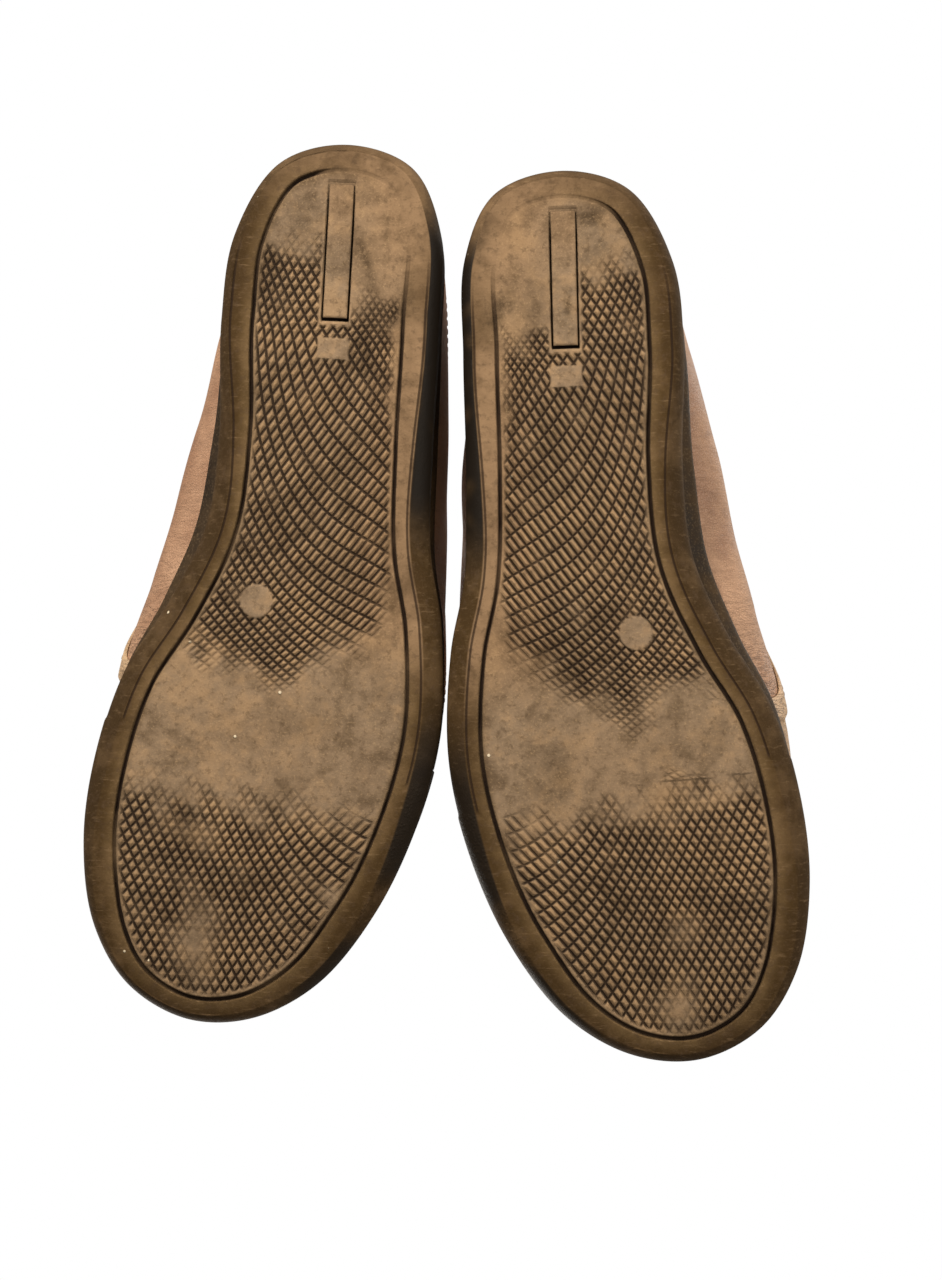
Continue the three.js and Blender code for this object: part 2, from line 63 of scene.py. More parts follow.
upper = {"thickness": 3.4, "inset": 6.9, "leather": 1.2, "lining": 0.8, "stiffener": 0.8, "gap": 0.3}
topline = {"heel": 61, "throat": 43, "crown": 6}
lean = {"inner": (16.5, 110, 39), "outer": (4.5, 94, 26)}  # reach, centre along, spread
lasted = {
    "wall": 13, "wallDropAtToe": 5,  # height of the widest line over the insole
    "wallOut": 1, "wallInAtToe": 3.5,
    "crownShare": 0.52, "crownShareDropAtToe": 0.1, "crownOut": 1.5,
}
stationCount = 40  # stations round the upper; 0 is the back of the heel, 20 the toe
sides = ("right", "left")
splay = {"right": 8.2, "left": 6.3}  # degrees
mirror = {"right": 1, "left": -1}
bodyOf = {"right": "right_slipper", "left": "left_slipper"}

# Shares of the sole's width and length.
outlineShares = np.array([
    (0.01, 0), (-0.19, 0.017), (-0.296, 0.085), (-0.331, 0.192), (-0.361, 0.327), (-0.397, 0.435),
    (-0.462, 0.519), (-0.502, 0.635), (-0.472, 0.738), (-0.384, 0.846), (-0.241, 0.937), (-0.06, 0.988),
    (0.13, 1), (0.311, 0.971), (0.432, 0.908), (0.492, 0.815), (0.492, 0.715), (0.442, 0.615),
    (0.341, 0.531), (0.266, 0.442), (0.266, 0.338), (0.306, 0.212), (0.302, 0.115), (0.2, 0.03),
])
# The same, with the share of the way from throat height to heel height.
toplineShares = np.array([
    (0.005, 0.042, 1), (-0.2, 0.085, 0.85), (-0.3, 0.23, 0.3), (-0.345, 0.385, -0.05), (-0.32, 0.535, -0.12),
    (-0.21, 0.632, -0.04), (0.02, 0.665, 0), (0.24, 0.632, 0.02), (0.33, 0.53, 0.02), (0.315, 0.385, 0.12),
    (0.285, 0.23, 0.38), (0.2, 0.085, 0.88),
])


def smooth(value, low, high):
    # Smooth step: 3 s squared less 2 s cubed, with s the share of the way from low to high.
    share = np.clip((value - low) / (high - low), 0, 1)
    return share * share * (3 - 2 * share)


def hump(value, middle, spread):
    # Bell curve: e to the minus squared distance from the middle, in spreads.
    return np.exp(-(((value - middle) / spread) ** 2))


def spot(w, t, x, y, rx, ry):
    # Bell over an oval: e to the minus squared distance from its middle, in radii.
    return np.exp(-(((w - x) / rx) ** 2 + ((t - y) / ry) ** 2))


def lengthsOf(steps):
    # Length of each step, kept as a last axis of one.
    return np.linalg.norm(steps, axis=-1, keepdims=True)


def hermite(points, share):
    # Centripetal Catmull-Rom between the middle two of four points: each span counts as the root of its length,
    # and the tangents come from the slopes on both sides.
    a, b, c, d = points
    before, span, after = (np.maximum(lengthsOf(q - p), 1e-6) ** 0.5 for p, q in ((a, b), (b, c), (c, d)))
    start = ((b - a) / before - (c - a) / (before + span) + (c - b) / span) * span
    end = ((c - b) / span - (d - b) / (span + after) + (d - c) / after) * span
    s = share
    near = (2 * s**3 - 3 * s**2 + 1) * b + (s**3 - 2 * s**2 + s) * start
    return near + (3 * s**2 - 2 * s**3) * c + (s**3 - s**2) * end


def alongLine(line):
    # Distance from the start to each point of a line.
    return np.concatenate([[0], np.cumsum(lengthsOf(np.diff(line, axis=0))[:, 0])])


def closedCurve(points, count):
    # A smooth closed curve through the points, read off at count places evenly spaced by length.
    share = np.linspace(0, 1, 60, endpoint=False)[:, None]
    parts = []
    for i in range(len(points)):
        four = [points[(i + k) % len(points)][None, :] for k in (-1, 0, 1, 2)]
        parts.append(hermite(four, share))
    dense = np.concatenate(parts + [parts[0][:1]])
    length = alongLine(dense)
    wanted = np.linspace(0, length[-1], count, endpoint=False)
    return np.stack([np.interp(wanted, length, dense[:, k]) for k in range(dense.shape[1])], axis=1)


def soleEdge(count):
    # The outline: the shares times the sole's width and length, heel at the origin and toe towards minus y.
    across, along = outlineShares.T
    return closedCurve(np.stack([across * sole["width"], -along * sole["length"]], axis=1), count)


def toeRise(along):
    # Toe spring: flat to springStart, then a parabola up to the tip.
    start = sole["springStart"] * sole["length"]
    return sole["spring"] * np.maximum(0, (along - start) / (sole["length"] - start)) ** 2


def soleTop(along):
    # Top of the rubber: toe spring plus a thickness that eases from the heel's to the forefoot's.
    slope = smooth(along, 0.22 * sole["length"], 0.56 * sole["length"])
    return toeRise(along) + sole["heel"] + (sole["fore"] - sole["heel"]) * slope


def inwardOf(loop):
    # Unit normals into the loop: the step from the point before to the point after, turned a quarter left.
    step = np.roll(loop, -1, axis=0)[:, :2] - np.roll(loop, 1, axis=0)[:, :2]
    turned = np.stack([-step[:, 1], step[:, 0]], axis=1)
    return turned / lengthsOf(turned)


def field(a, b, scale, seed):
    # A smooth random field between about -1 and 1: a sum of waves of one length in random directions.
    waves = 14
    rng = np.random.default_rng(seed)
    total = np.zeros_like(a, dtype=float)
    for angle, phase in rng.uniform(0, 2 * math.pi, (waves, 2)):
        total += np.cos((a * math.cos(angle) + b * math.sin(angle)) * 2 * math.pi / scale + phase)
    return total / math.sqrt(waves)


def skinSurface(count, shares):
    # Inner face of the lining: count stations round, and shares of the way from feather edge to topline. Each
    # column is a Catmull-Rom curve through the feather edge, the widest line, the crown line and the topline.
    edge = soleEdge(count)
    inward = inwardOf(edge)
    along = -edge[:, 1]
    toe = smooth(along, 0.72 * sole["length"], 0.97 * sole["length"])
    inner = np.arange(count) > count / 2
    reach, centre, spread = np.where(inner[:, None], lean["inner"], lean["outer"]).T
    bulge = reach * np.exp(-(((along - centre) / spread) ** 2) / 2)
    rim = toplineShares * (sole["width"], sole["length"], 1)
    rim[:, 1] *= -1
    rim[:, 2] = topline["throat"] + (topline["heel"] - topline["throat"]) * rim[:, 2]
    rim = closedCurve(rim, count)
    insole = soleTop(along) + upper["gap"] + upper["thickness"]
    feather = np.concatenate([edge + inward * upper["inset"], np.zeros((count, 1))], axis=1)
    feather[:, 2] = soleTop(-feather[:, 1]) + upper["gap"] + upper["thickness"]
    inset = upper["inset"] - lasted["wallOut"] + lasted["wallInAtToe"] * toe - bulge
    height = insole + lasted["wall"] - lasted["wallDropAtToe"] * toe
    widest = np.concatenate([edge + inward * inset[:, None], height[:, None]], axis=1)
    crown = widest + (rim - widest) * (lasted["crownShare"] - lasted["crownShareDropAtToe"] * toe)[:, None]
    crown[:, 2] += topline["crown"] * toe
    crown[:, :2] -= lasted["crownOut"] * inward
    stops = [2 * feather - widest, feather, widest, crown, rim, 2 * rim - crown]
    columns = []
    for share in shares:
        part = min(int(share * 3), 2)
        columns.append(hermite(stops[part : part + 4], share * 3 - part))
    skin = np.stack(columns, axis=1)
    turned = np.cross(np.roll(skin, -1, axis=0) - np.roll(skin, 1, axis=0), np.gradient(skin, axis=1))
    return skin, turned / lengthsOf(turned)


skinCount = 800
skinRows = 60
skinGrid, skinNormals = skinSurface(skinCount, np.linspace(0, 1, skinRows))


def onSkin(stations, shares, offset):
    # Points at stations (cyclic) and shares (0 to 1): the skin's grid read between its points, plus offset
    # times the normal.
    stations, shares, offset = np.broadcast_arrays(stations, shares, offset)
    column = (stations % stationCount) * skinCount / stationCount
    row = np.clip(shares, 0, 1) * (skinRows - 1)
    left = np.floor(column).astype(int)
    low = np.minimum(np.floor(row).astype(int), skinRows - 2)
    a = (column - left)[..., None]
    b = (row - low)[..., None]
    result = []
    for grid in (skinGrid, skinNormals):
        corner = lambda i, j: grid[(left + i) % skinCount, low + j]
        lower = corner(0, 0) * (1 - a) + corner(1, 0) * a
        higher = corner(0, 1) * (1 - a) + corner(1, 1) * a
        result.append(lower * (1 - b) + higher * b)
    return result[0] + result[1] * offset[..., None]


def leatherFace(share):
    # Offset of the leather's inner face: over the stiffener low down, close to the lining near the topline.
    low = upper["lining"] + upper["gap"]
    high = low + upper["stiffener"] + upper["gap"]
    return high + (low - high) * smooth(share, 0.67, 1)


def skinHeight(stations):
    # Length of the skin from feather edge to topline: the sum of its steps up, read between stations.
    height = lengthsOf(np.diff(skinGrid, axis=1))[..., 0].sum(axis=1)
    places = np.linspace(0, stationCount, skinCount + 1)
    return np.interp(np.asarray(stations) % stationCount, places, np.append(height, height[0]))


# Each slipper is mirrored, splayed and moved so that its outline's box is that of its CAD outsole.
placeOf = {}
for side in sides:
    turn = math.radians(mirror[side] * splay[side])
    loop = soleEdge(stationCount)
    flat = np.stack([loop[:, 0] * mirror[side], loop[:, 1]], axis=1)
    matrix = np.array([[math.cos(turn), -math.sin(turn)], [math.sin(turn), math.cos(turn)]])
    turned = flat @ matrix.T
    low, high = (np.array(corner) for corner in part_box(side + "_outsole"))
    middle = (low + high)[:2] / 2 * 1000 - (turned.min(axis=0) + turned.max(axis=0)) / 2
    placeOf[side] = (matrix, middle)


def toWorld(points, side):
    # Slipper frame in millimetres to world in metres: mirror, turn, move.
    matrix, middle = placeOf[side]
    flat = np.stack([points[:, 0] * mirror[side], points[:, 1]], axis=1) @ matrix.T + middle
    return np.concatenate([flat, points[:, 2:3]], axis=1) / 1000


def makeMesh(name, points, faces, side, attributes=None, smoothAngle=40):
    # Faces are rows of four corners; a triangle repeats a corner. Where the volume they close comes out
    # negative, all are turned round, so that they face out.
    points = np.asarray(points, dtype=float).reshape(-1, 3)
    world = toWorld(points, side)
    faces = np.asarray(faces)
    a, b, c, d = (world[faces[:, k]] for k in range(4))
    volume = np.einsum("ij,ij->i", a, np.cross(b, c)).sum() + np.einsum("ij,ij->i", a, np.cross(c, d)).sum()
    if volume < 0:
        faces = faces[:, ::-1]
    isTriangle = (faces[:, 3] == faces[:, 2]) | (faces[:, 0] == faces[:, 1])
    quads = faces[~isTriangle]
    triangles = faces[isTriangle]
    repeated = triangles[:, :1] == triangles[:, 1:2]
    triangles = np.where(repeated, triangles[:, 1:], triangles[:, :3])
    corners = np.concatenate([quads.ravel(), triangles.ravel()])
    sizes = np.concatenate([np.full(len(quads), 4), np.full(len(triangles), 3)])
    starts = np.concatenate([[0], np.cumsum(sizes)[:-1]])
    mesh = bpy.data.meshes.new(name)
    mesh.vertices.add(len(world))
    mesh.vertices.foreach_set("co", world.astype(np.float32).ravel())
    mesh.loops.add(len(corners))
    mesh.loops.foreach_set("vertex_index", corners.astype(np.int32))
    mesh.polygons.add(len(sizes))
    mesh.polygons.foreach_set("loop_start", starts.astype(np.int32))
    mesh.polygons.foreach_set("loop_total", sizes.astype(np.int32))
    mesh.update(calc_edges=True)
    mesh.validate()
    for key, values in (attributes or {}).items():
        values = np.broadcast_to(np.asarray(values, dtype=np.float32).ravel(), (len(points),))
        mesh.attributes.new(key, "FLOAT", "POINT").data.foreach_set("value", np.ascontiguousarray(values))
    obj = bpy.data.objects.new(name, mesh)
    bpy.context.collection.objects.link(obj)
    mesh.shade_smooth()
    if smoothAngle < 180:
        mesh.set_sharp_from_angle(angle=math.radians(smoothAngle))
    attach(obj, bodyOf[side])
    return obj


def gridFaces(rows, columns, closedRows=False, closedColumns=False, first=0):
    # Four corners for each cell of a grid of points, row by row.
    i = np.arange(rows if closedRows else rows - 1)
    j = np.arange(columns if closedColumns else columns - 1)
    i, j = np.meshgrid(i, j, indexing="ij")
    up = (i + 1) % rows
    right = (j + 1) % columns
    cells = np.stack([i * columns + j, up * columns + j, up * columns + right, i * columns + right], axis=-1)
    return cells.reshape(-1, 4) + first


def fan(first, second, tip):
    # Triangles from pairs of corners to one tip.
    tips = np.full(len(first), tip)
    return np.stack([first, second, tips, tips], axis=1)


def hoop(sections, closed):
    # A tube of closed sections, points[section, corner]. An open tube gets a fan over each end.
    rows, columns = sections.shape[:2]
    faces = [gridFaces(rows, columns, closed, True)]
    points = sections.reshape(-1, 3)
    if not closed:
        points = np.concatenate([points, sections[[0, -1]].mean(axis=1)])
        j = np.arange(columns)
        following = (j + 1) % columns
        last = (rows - 1) * columns
        faces.append(fan(j, following, rows * columns))
        faces.append(fan(last + following, last + j, rows * columns + 1))
    return points, np.concatenate(faces)


def ladder(loop, columns, first=0):
    # A sheet inside a loop: rungs from each station to the one opposite, with single points at both ends.
    half = len(loop) // 2
    share = np.linspace(0, 1, columns)[None, :, None]
    left = loop[1:half][:, None, :]
    right = loop[:half:-1][:, None, :]
    inside = left * (1 - share) + right * share
    points = np.concatenate([loop[:1], inside.reshape(-1, 3), loop[half : half + 1]])
    rows = half - 1
    index = 1 + np.arange(rows * columns).reshape(rows, columns)
    last = 1 + rows * columns
    faces = [
        gridFaces(rows, columns, first=1),
        fan(index[0, 1:], index[0, :-1], 0),
        fan(index[-1, :-1], index[-1, 1:], last),
    ]
    ring = np.concatenate([[0], index[:, 0], [last], index[::-1, -1]])
    return points, np.concatenate(faces) + first, ring + first


def twoFaced(front, back):
    # A plate: two grids of the same size as front and back, joined by a ring of faces round the edge.
    rows, columns = front.shape[:2]
    count = rows * columns
    index = np.arange(count).reshape(rows, columns)
    ring = np.concatenate([index[0, :-1], index[:-1, -1], index[-1, :0:-1], index[:0:-1, 0]])
    following = np.roll(ring, -1)
    faces = np.concatenate([
        gridFaces(rows, columns),
        gridFaces(rows, columns, first=count)[:, ::-1],
        np.stack([ring, following, following + count, ring + count], axis=1),
    ])
    return np.concatenate([front.reshape(-1, 3), back.reshape(-1, 3)]), faces


def colour(red, green, blue):
    # Screen values from 0 to 255 to linear light, by the sRGB curve.
    shares = (value / 255 for value in (red, green, blue))
    return tuple(s / 12.92 if s <= 0.04045 else ((s + 0.055) / 1.055) ** 2.4 for s in shares) + (1.0,)


class Graph:
    # Short words for making and linking shader nodes; the nodes are laid out in rows of twelve.
    def __init__(self, tree):
        self.tree = tree
        self.count = 0

    def node(self, kind, inputs=None, **settings):
        # A new node with its settings, and its inputs as values or links.
        made = self.tree.nodes.new(kind)
        made.location = (self.count % 12 * 190, -(self.count // 12) * 260)
        self.count += 1
        for key, value in settings.items():
            setattr(made, key, value)
        for key, value in (inputs or {}).items():
            self.put(made.inputs[key], value)
        return made

    def put(self, socket, value):
        if isinstance(value, bpy.types.NodeSocket):
            self.tree.links.new(value, socket)
        else:
            socket.default_value = value

    def math(self, operation, a, b=0.0, c=0.0):
        made = self.node("ShaderNodeMath", {0: a, 1: b}, operation=operation)
        if operation == "MULTIPLY_ADD":
            self.put(made.inputs[2], c)
        return made.outputs[0]

    def times(self, a, b):
        return self.math("MULTIPLY", a, b)

    def step(self, value, low, high, toLow=0.0, toHigh=1.0):
        # The smooth step from low to high, carried from toLow to toHigh.
        spans = {"From Min": low, "From Max": high, "To Min": toLow, "To Max": toHigh}
        made = self.node("ShaderNodeMapRange", {"Value": value, **spans})
        made.interpolation_type = "SMOOTHSTEP"
        return made.outputs["Result"]

    def mix(self, share, a, b):
        # Colour a, and b by its share.
        made = self.node("ShaderNodeMix", data_type="RGBA")
        self.put(made.inputs["Factor"], share)
        self.put(made.inputs[6], a)
        self.put(made.inputs[7], b)
        return made.outputs[2]

    def noise(self, vector, scale, detail=3.0, rough=0.55, distortion=0.0):
        values = {"Scale": scale, "Detail": detail, "Roughness": rough, "Distortion": distortion}
        return self.node("ShaderNodeTexNoise", {"Vector": vector, **values}).outputs["Fac"]

    def cells(self, vector, scale, feature="F1", output="Distance"):
        return self.node("ShaderNodeTexVoronoi", {"Vector": vector, "Scale": scale}, feature=feature).outputs[output]

    def attribute(self, name):
        return self.node("ShaderNodeAttribute", attribute_name=name).outputs["Fac"]

    def place(self):
        return self.node("ShaderNodeTexCoord").outputs["Object"]

    def stretch(self, vector, x, y, z):
        return self.node("ShaderNodeMapping", {"Vector": vector, "Scale": (x, y, z)}).outputs[0]

    def use(self, group, inputs):
        return self.node("ShaderNodeGroup", inputs, node_tree=group).outputs

    def bump(self, shader, height, millimetres):
        # A height of 1 stands this many millimetres off the surface.
        made = self.node("ShaderNodeBump", {"Height": height, "Distance": millimetres / 1000, "Strength": 1.0})
        self.put(shader.inputs["Normal"], made.outputs[0])


def newGroup(name, inputs, outputs):
    # A node group; an input of None is a vector, any other a number with that value.
    group = bpy.data.node_groups.new(name, "ShaderNodeTree")
    for key, value in inputs.items():
        kind = "NodeSocketVector" if value is None else "NodeSocketFloat"
        socket = group.interface.new_socket(key, in_out="INPUT", socket_type=kind)
        if value is not None:
            socket.default_value = value
    for key in outputs:
        group.interface.new_socket(key, in_out="OUTPUT", socket_type="NodeSocketFloat")
    graph = Graph(group)
    return group, graph, graph.node("NodeGroupInput").outputs, graph.node("NodeGroupOutput").inputs


def newMaterial(name, roughness):
    # A material with its graph and its shader.
    material = bpy.data.materials.new(name)
    material.use_nodes = True
    shader = material.node_tree.nodes["Principled BSDF"]
    shader.inputs["Roughness"].default_value = roughness
    return material, Graph(material.node_tree), shader


def makeTreadLine():
    # 1 on the lines where a phase is a whole number, fading to 0 past half the line's width.
    group, g, given, out = newGroup("treadLine", {"Phase": 0.0, "Half": 0.1, "Soft": 0.08}, ["Line"])
    fraction = g.math("FRACT", g.math("ADD", given["Phase"], 0.5))
    nearest = g.math("ABSOLUTE", g.math("SUBTRACT", fraction, 0.5))
    outer = g.math("ADD", given["Half"], given["Soft"])
    g.put(out["Line"], g.step(nearest, given["Half"], outer, 1.0, 0.0))
    return group


def makeDriedDust():
    # Dried dust: blotches of two sizes and fine grit. Share runs from bare (0) to covered (1).
    group, g, given, out = newGroup("driedDust", {"Vector": None, "Cover": 0.8}, ["Share", "Grit", "Blotch"])
    large = g.noise(given["Vector"], 38.0, 4.0, 0.6, 0.6)
    middle = g.noise(given["Vector"], 170.0, 5.0, 0.65)
    blotch = g.math("ADD", g.times(large, 0.55), g.times(middle, 0.45))
    bare = g.math("SUBTRACT", 1.0, given["Cover"])
    g.put(out["Share"], g.step(blotch, g.math("SUBTRACT", bare, 0.12), g.math("ADD", bare, 0.3)))
    g.put(out["Grit"], g.noise(given["Vector"], 1500.0, 3.0, 0.7))
    g.put(out["Blotch"], blotch)
    return group


def makeLeatherGrain():
    # Leather: pebbles with thin edges, pores, veins, and creases across the foot where it bends. The creases and the
    # leather low down near the sole get painted shade.
    inputs = {"Vector": None, "Flex": 0.0, "Low": 0.0, "Grain": 1.0}
    group, g, given, out = newGroup("leatherGrain", inputs, ["Cloud", "Shade", "Scuff", "Height"])
    place = given["Vector"]
    veins = g.noise(place, 120.0, 5.0, 0.65, 1.2)
    pebble = g.cells(place, 1150.0, "DISTANCE_TO_EDGE")
    pores = g.cells(place, 1700.0)
    folds = g.noise(g.stretch(place, 60, 420, 90), 1.0, 6.0, 0.62, 1.6)
    fromFold = g.math("ABSOLUTE", g.math("SUBTRACT", folds, 0.5))
    crease = g.times(g.step(fromFold, 0.0, 0.035, 1.0, 0.0), given["Flex"])
    shade = g.times(g.step(veins, 0.5, 0.75), 0.45)
    shade = g.math("MAXIMUM", shade, g.times(g.step(pebble, 0.0, 0.12, 1.0, 0.0), 0.28))
    # Painted shade: darker in the creases, and low down near the sole.
    shade = g.math("MAXIMUM", shade, g.times(crease, 0.5))
    g.put(out["Shade"], g.math("MAXIMUM", shade, g.times(given["Low"], 0.35)))
    g.put(out["Cloud"], g.step(g.noise(place, 32.0, 4.0, 0.6, 0.4), 0.35, 0.68))
    scuffs = g.step(g.noise(place, 260.0, 6.0, 0.7), 0.62, 0.8)
    g.put(out["Scuff"], g.times(g.times(scuffs, given["Low"]), 0.7))
    cellHeight = g.math("MULTIPLY_ADD", pores, 0.25, g.times(g.step(pebble, 0.0, 0.2), 0.35))
    height = g.math("MULTIPLY_ADD", cellHeight, given["Grain"], g.times(veins, 0.9))
    g.put(out["Height"], g.math("MULTIPLY_ADD", crease, -0.9, height))
    return group


treadLine = makeTreadLine()
leatherGrain = makeLeatherGrain()
driedDust = makeDriedDust()

soleRubber = {
    "rimEdge": (58, 41, 18), "rimInner": (68, 49, 22), "rimByChannel": (118, 94, 62), "inside": (132, 110, 86),
    # The lighter tread tone is a painted highlight on the tops of the tread cells.
    "treadGround": (88, 64, 38), "treadTopHighlight": (160, 128, 91), "tan": (136, 108, 79), "cloud": (68, 49, 28),
    "blotchLight": (165, 132, 95), "blotchDark": (60, 43, 22), "rubbed": (166, 135, 100), "flake": (78, 60, 42),
    "smudge": (52, 38, 22), "grit": (176, 145, 106), "clean": (25, 18, 10), "speck": (226, 208, 176),
    # groove, channel, parting and slot are tones of painted shade in the cuts and round the heel bar. The groove tone
    # also stands for dirt packed in the grooves.
    "groove": (34, 22, 12), "channel": (26, 14, 7), "parting": (34, 21, 12), "slot": (24, 14, 8),
    "lineHalf": 0.17, "lineSoft": 0.3, "slopeSoft": 1.1,  # tread lines, mm
}


def soleMaterial():
    # Rubber under dust. Each point carries edge and channel (mm in from the outline and past the channel), the
    # phase and rate of both families of tread lines, and masks from 0 to 1 for everything else.
    material, g, shader = newMaterial("soleRubber", 0.85)
    paint = {name: colour(*value) for name, value in soleRubber.items() if isinstance(value, tuple)}
    place = g.place()
    edge, channel, tread, clean = (g.attribute(name) for name in ("edge", "channel", "tread", "clean"))
    dust = g.use(driedDust, {"Vector": place, "Cover": 0.62})
    streaks = g.noise(g.stretch(place, 210, 1100, 400), 1.0, 4.0, 0.65)
    flakes = g.noise(place, 420.0, 6.0, 0.75)
    lines, slopes = [], []
    for family in ("A", "B"):
        phase = g.attribute("phase" + family)
        rate = g.attribute("rate" + family)
        half = g.times(rate, soleRubber["lineHalf"])
        for found, soft in ((lines, "lineSoft"), (slopes, "slopeSoft")):
            inputs = {"Phase": phase, "Half": half, "Soft": g.times(rate, soleRubber[soft])}
            found.append(g.use(treadLine, inputs)["Line"])
    groove = g.times(g.math("MAXIMUM", lines[0], lines[1]), tread)
    slope = g.math("MAXIMUM", slopes[0], slopes[1])
    fromChannel = g.math("ABSOLUTE", channel)
    ditch = g.times(g.step(fromChannel, 0.3, 0.75, 1.0, 0.0), g.attribute("keep"))
    fromParting = g.math("ABSOLUTE", g.attribute("parting"))
    cutLine = g.times(g.step(fromParting, 0.12, 0.5, 1.0, 0.0), g.attribute("partingKeep"))
    # Dark rubber at the rim, dusty brown inside, tan where the heel is rubbed down.
    rim = g.mix(g.step(edge, 0.0, 9.0), paint["rimEdge"], paint["rimInner"])
    rim = g.mix(g.step(channel, -4.5, -0.8, 0.0, 0.42), rim, paint["rimByChannel"])
    tone = g.mix(g.step(channel, -1.0, 2.5), rim, paint["inside"])
    # The tread takes a darker ground tone. Its cell tops, away from the lines, are lightened as a painted highlight,
    # so the slopes by the lines stay darker as painted shade.
    tone = g.mix(g.times(tread, 0.35), tone, paint["treadGround"])
    raised = g.times(g.math("SUBTRACT", 1.0, slope), tread)
    tone = g.mix(g.times(raised, 0.6), tone, paint["treadTopHighlight"])
    tone = g.mix(g.attribute("tan"), tone, paint["tan"])
    cloudy = g.noise(place, 62.0, 5.0, 0.6, 0.8)
    tone = g.mix(g.times(g.step(cloudy, 0.55, 0.35), 0.3), tone, paint["cloud"])
    # Dust, streaks, flakes and scuffs.
    lightShare = g.times(g.step(dust["Blotch"], 0.47, 0.62), g.step(channel, -1.0, 2.5, 0.12, 0.5))
    tone = g.mix(lightShare, tone, paint["blotchLight"])
    tone = g.mix(g.times(g.step(dust["Blotch"], 0.5, 0.36), 0.5), tone, paint["blotchDark"])
    tone = g.mix(g.times(g.step(streaks, 0.55, 0.75), 0.22), tone, paint["rubbed"])
    tone = g.mix(g.times(g.step(flakes, 0.5, 0.66), 0.5), tone, paint["flake"])
    uneven = g.step(g.noise(place, 190.0, 5.0, 0.7, 0.5), 0.3, 0.6, 0.35, 1.0)
    tone = g.mix(g.times(g.attribute("smudge"), uneven), tone, paint["smudge"])
    grit = g.times(g.step(dust["Grit"], 0.52, 0.72), g.step(channel, -3.0, 2.5, 0.05, 0.36))
    tone = g.mix(grit, tone, paint["grit"])
    tone = g.mix(clean, tone, paint["clean"])
    # A pale speck in about one cell of a dozen.
    specks = g.cells(place, 150.0)
    lot = g.node("ShaderNodeSeparateColor", {"Color": g.cells(place, 150.0, output="Color")}).outputs[0]
    speck = g.times(g.step(specks, 0.05, 0.09, 1.0, 0.0), g.step(lot, 0.92, 0.93))
    tone = g.mix(g.times(speck, 0.8), tone, paint["speck"])
    # Painted shade in the cuts: the tread grooves (partly packed dirt), the framing channel and the parting line are
    # darkened.
    tone = g.mix(g.times(groove, 0.92), tone, paint["groove"])
    tone = g.mix(g.times(ditch, 0.95), tone, paint["channel"])
    tone = g.mix(g.times(cutLine, 0.8), tone, paint["parting"])
    # Painted shade in the gap round the heel bar and at the bar's edges, darkest at its toe-ward end. The bar's
    # buried face is dark too.
    tone = g.mix(g.step(g.attribute("gapShade"), 0.1, 0.8), tone, paint["slot"])
    g.put(shader.inputs["Base Color"], tone)
    shader.inputs["Specular IOR Level"].default_value = 0.14
    g.put(shader.inputs["Roughness"], g.math("SUBTRACT", 0.88, g.times(clean, 0.25)))
    dots = g.times(g.step(g.cells(place, 900.0), 0.25, 0.5, 1.0, 0.0), g.attribute("dotted"))
    height = g.times(g.times(slope, tread), -0.7)
    relief = (
        (groove, -0.9), (ditch, -1.1), (cutLine, -0.4), (dust["Grit"], 0.16), (flakes, 0.3),
        (dust["Blotch"], 0.35), (dots, 0.14), (speck, 0.6),
    )
    for part, share in relief:
        height = g.math("MULTIPLY_ADD", part, share, height)
    g.bump(shader, height, 0.5)
    return material


def leatherMaterial(name, base, light, shadow, grain=1.0):
    # Soft leather in three tones, with painted shade low down near the sole and in the creases where the foot bends
    # it, and scuffs low down.
    material, g, shader = newMaterial(name, 0.6)
    inputs = {"Vector": g.place(), "Flex": g.attribute("flex"), "Low": g.attribute("low"), "Grain": grain}
    look = g.use(leatherGrain, inputs)
    tone = g.mix(look["Cloud"], base, light)
    # The shadow tone carries the dark veins and pebble edges of the grain and the painted shade in the creases and
    # near the sole.
    tone = g.mix(look["Shade"], tone, shadow)
    tone = g.mix(look["Scuff"], tone, colour(70, 48, 34))
    g.put(shader.inputs["Base Color"], tone)
    g.put(shader.inputs["Roughness"], g.step(look["Cloud"], 0.0, 1.0, 0.52, 0.66))
    shader.inputs["Specular IOR Level"].default_value = 0.42
    g.bump(shader, look["Height"], 0.22)
    return material


def rubberMaterial(name, dirt):
    # Band and bumper: dark rubber, dusty where it is touched, with fine dots where the mesh asks for them.
    material, g, shader = newMaterial(name, 0.4)
    place = g.place()
    dust = g.use(driedDust, {"Vector": place, "Cover": dirt})
    tone = g.mix(g.times(dust["Share"], 0.7), colour(34, 24, 13), colour(80, 60, 36))
    tone = g.mix(g.times(g.step(dust["Grit"], 0.5, 0.7), 0.25), tone, colour(130, 108, 80))
    g.put(shader.inputs["Base Color"], tone)
    g.put(shader.inputs["Roughness"], g.math("MULTIPLY_ADD", dust["Share"], 0.25, 0.6))
    shader.inputs["Specular IOR Level"].default_value = 0.16
    dots = g.times(g.step(g.cells(place, 760.0), 0.2, 0.48, 1.0, 0.0), g.attribute("dotted"))
    g.bump(shader, g.math("MULTIPLY_ADD", dust["Grit"], 0.2, g.times(dots, 0.9)), 0.3)
    return material


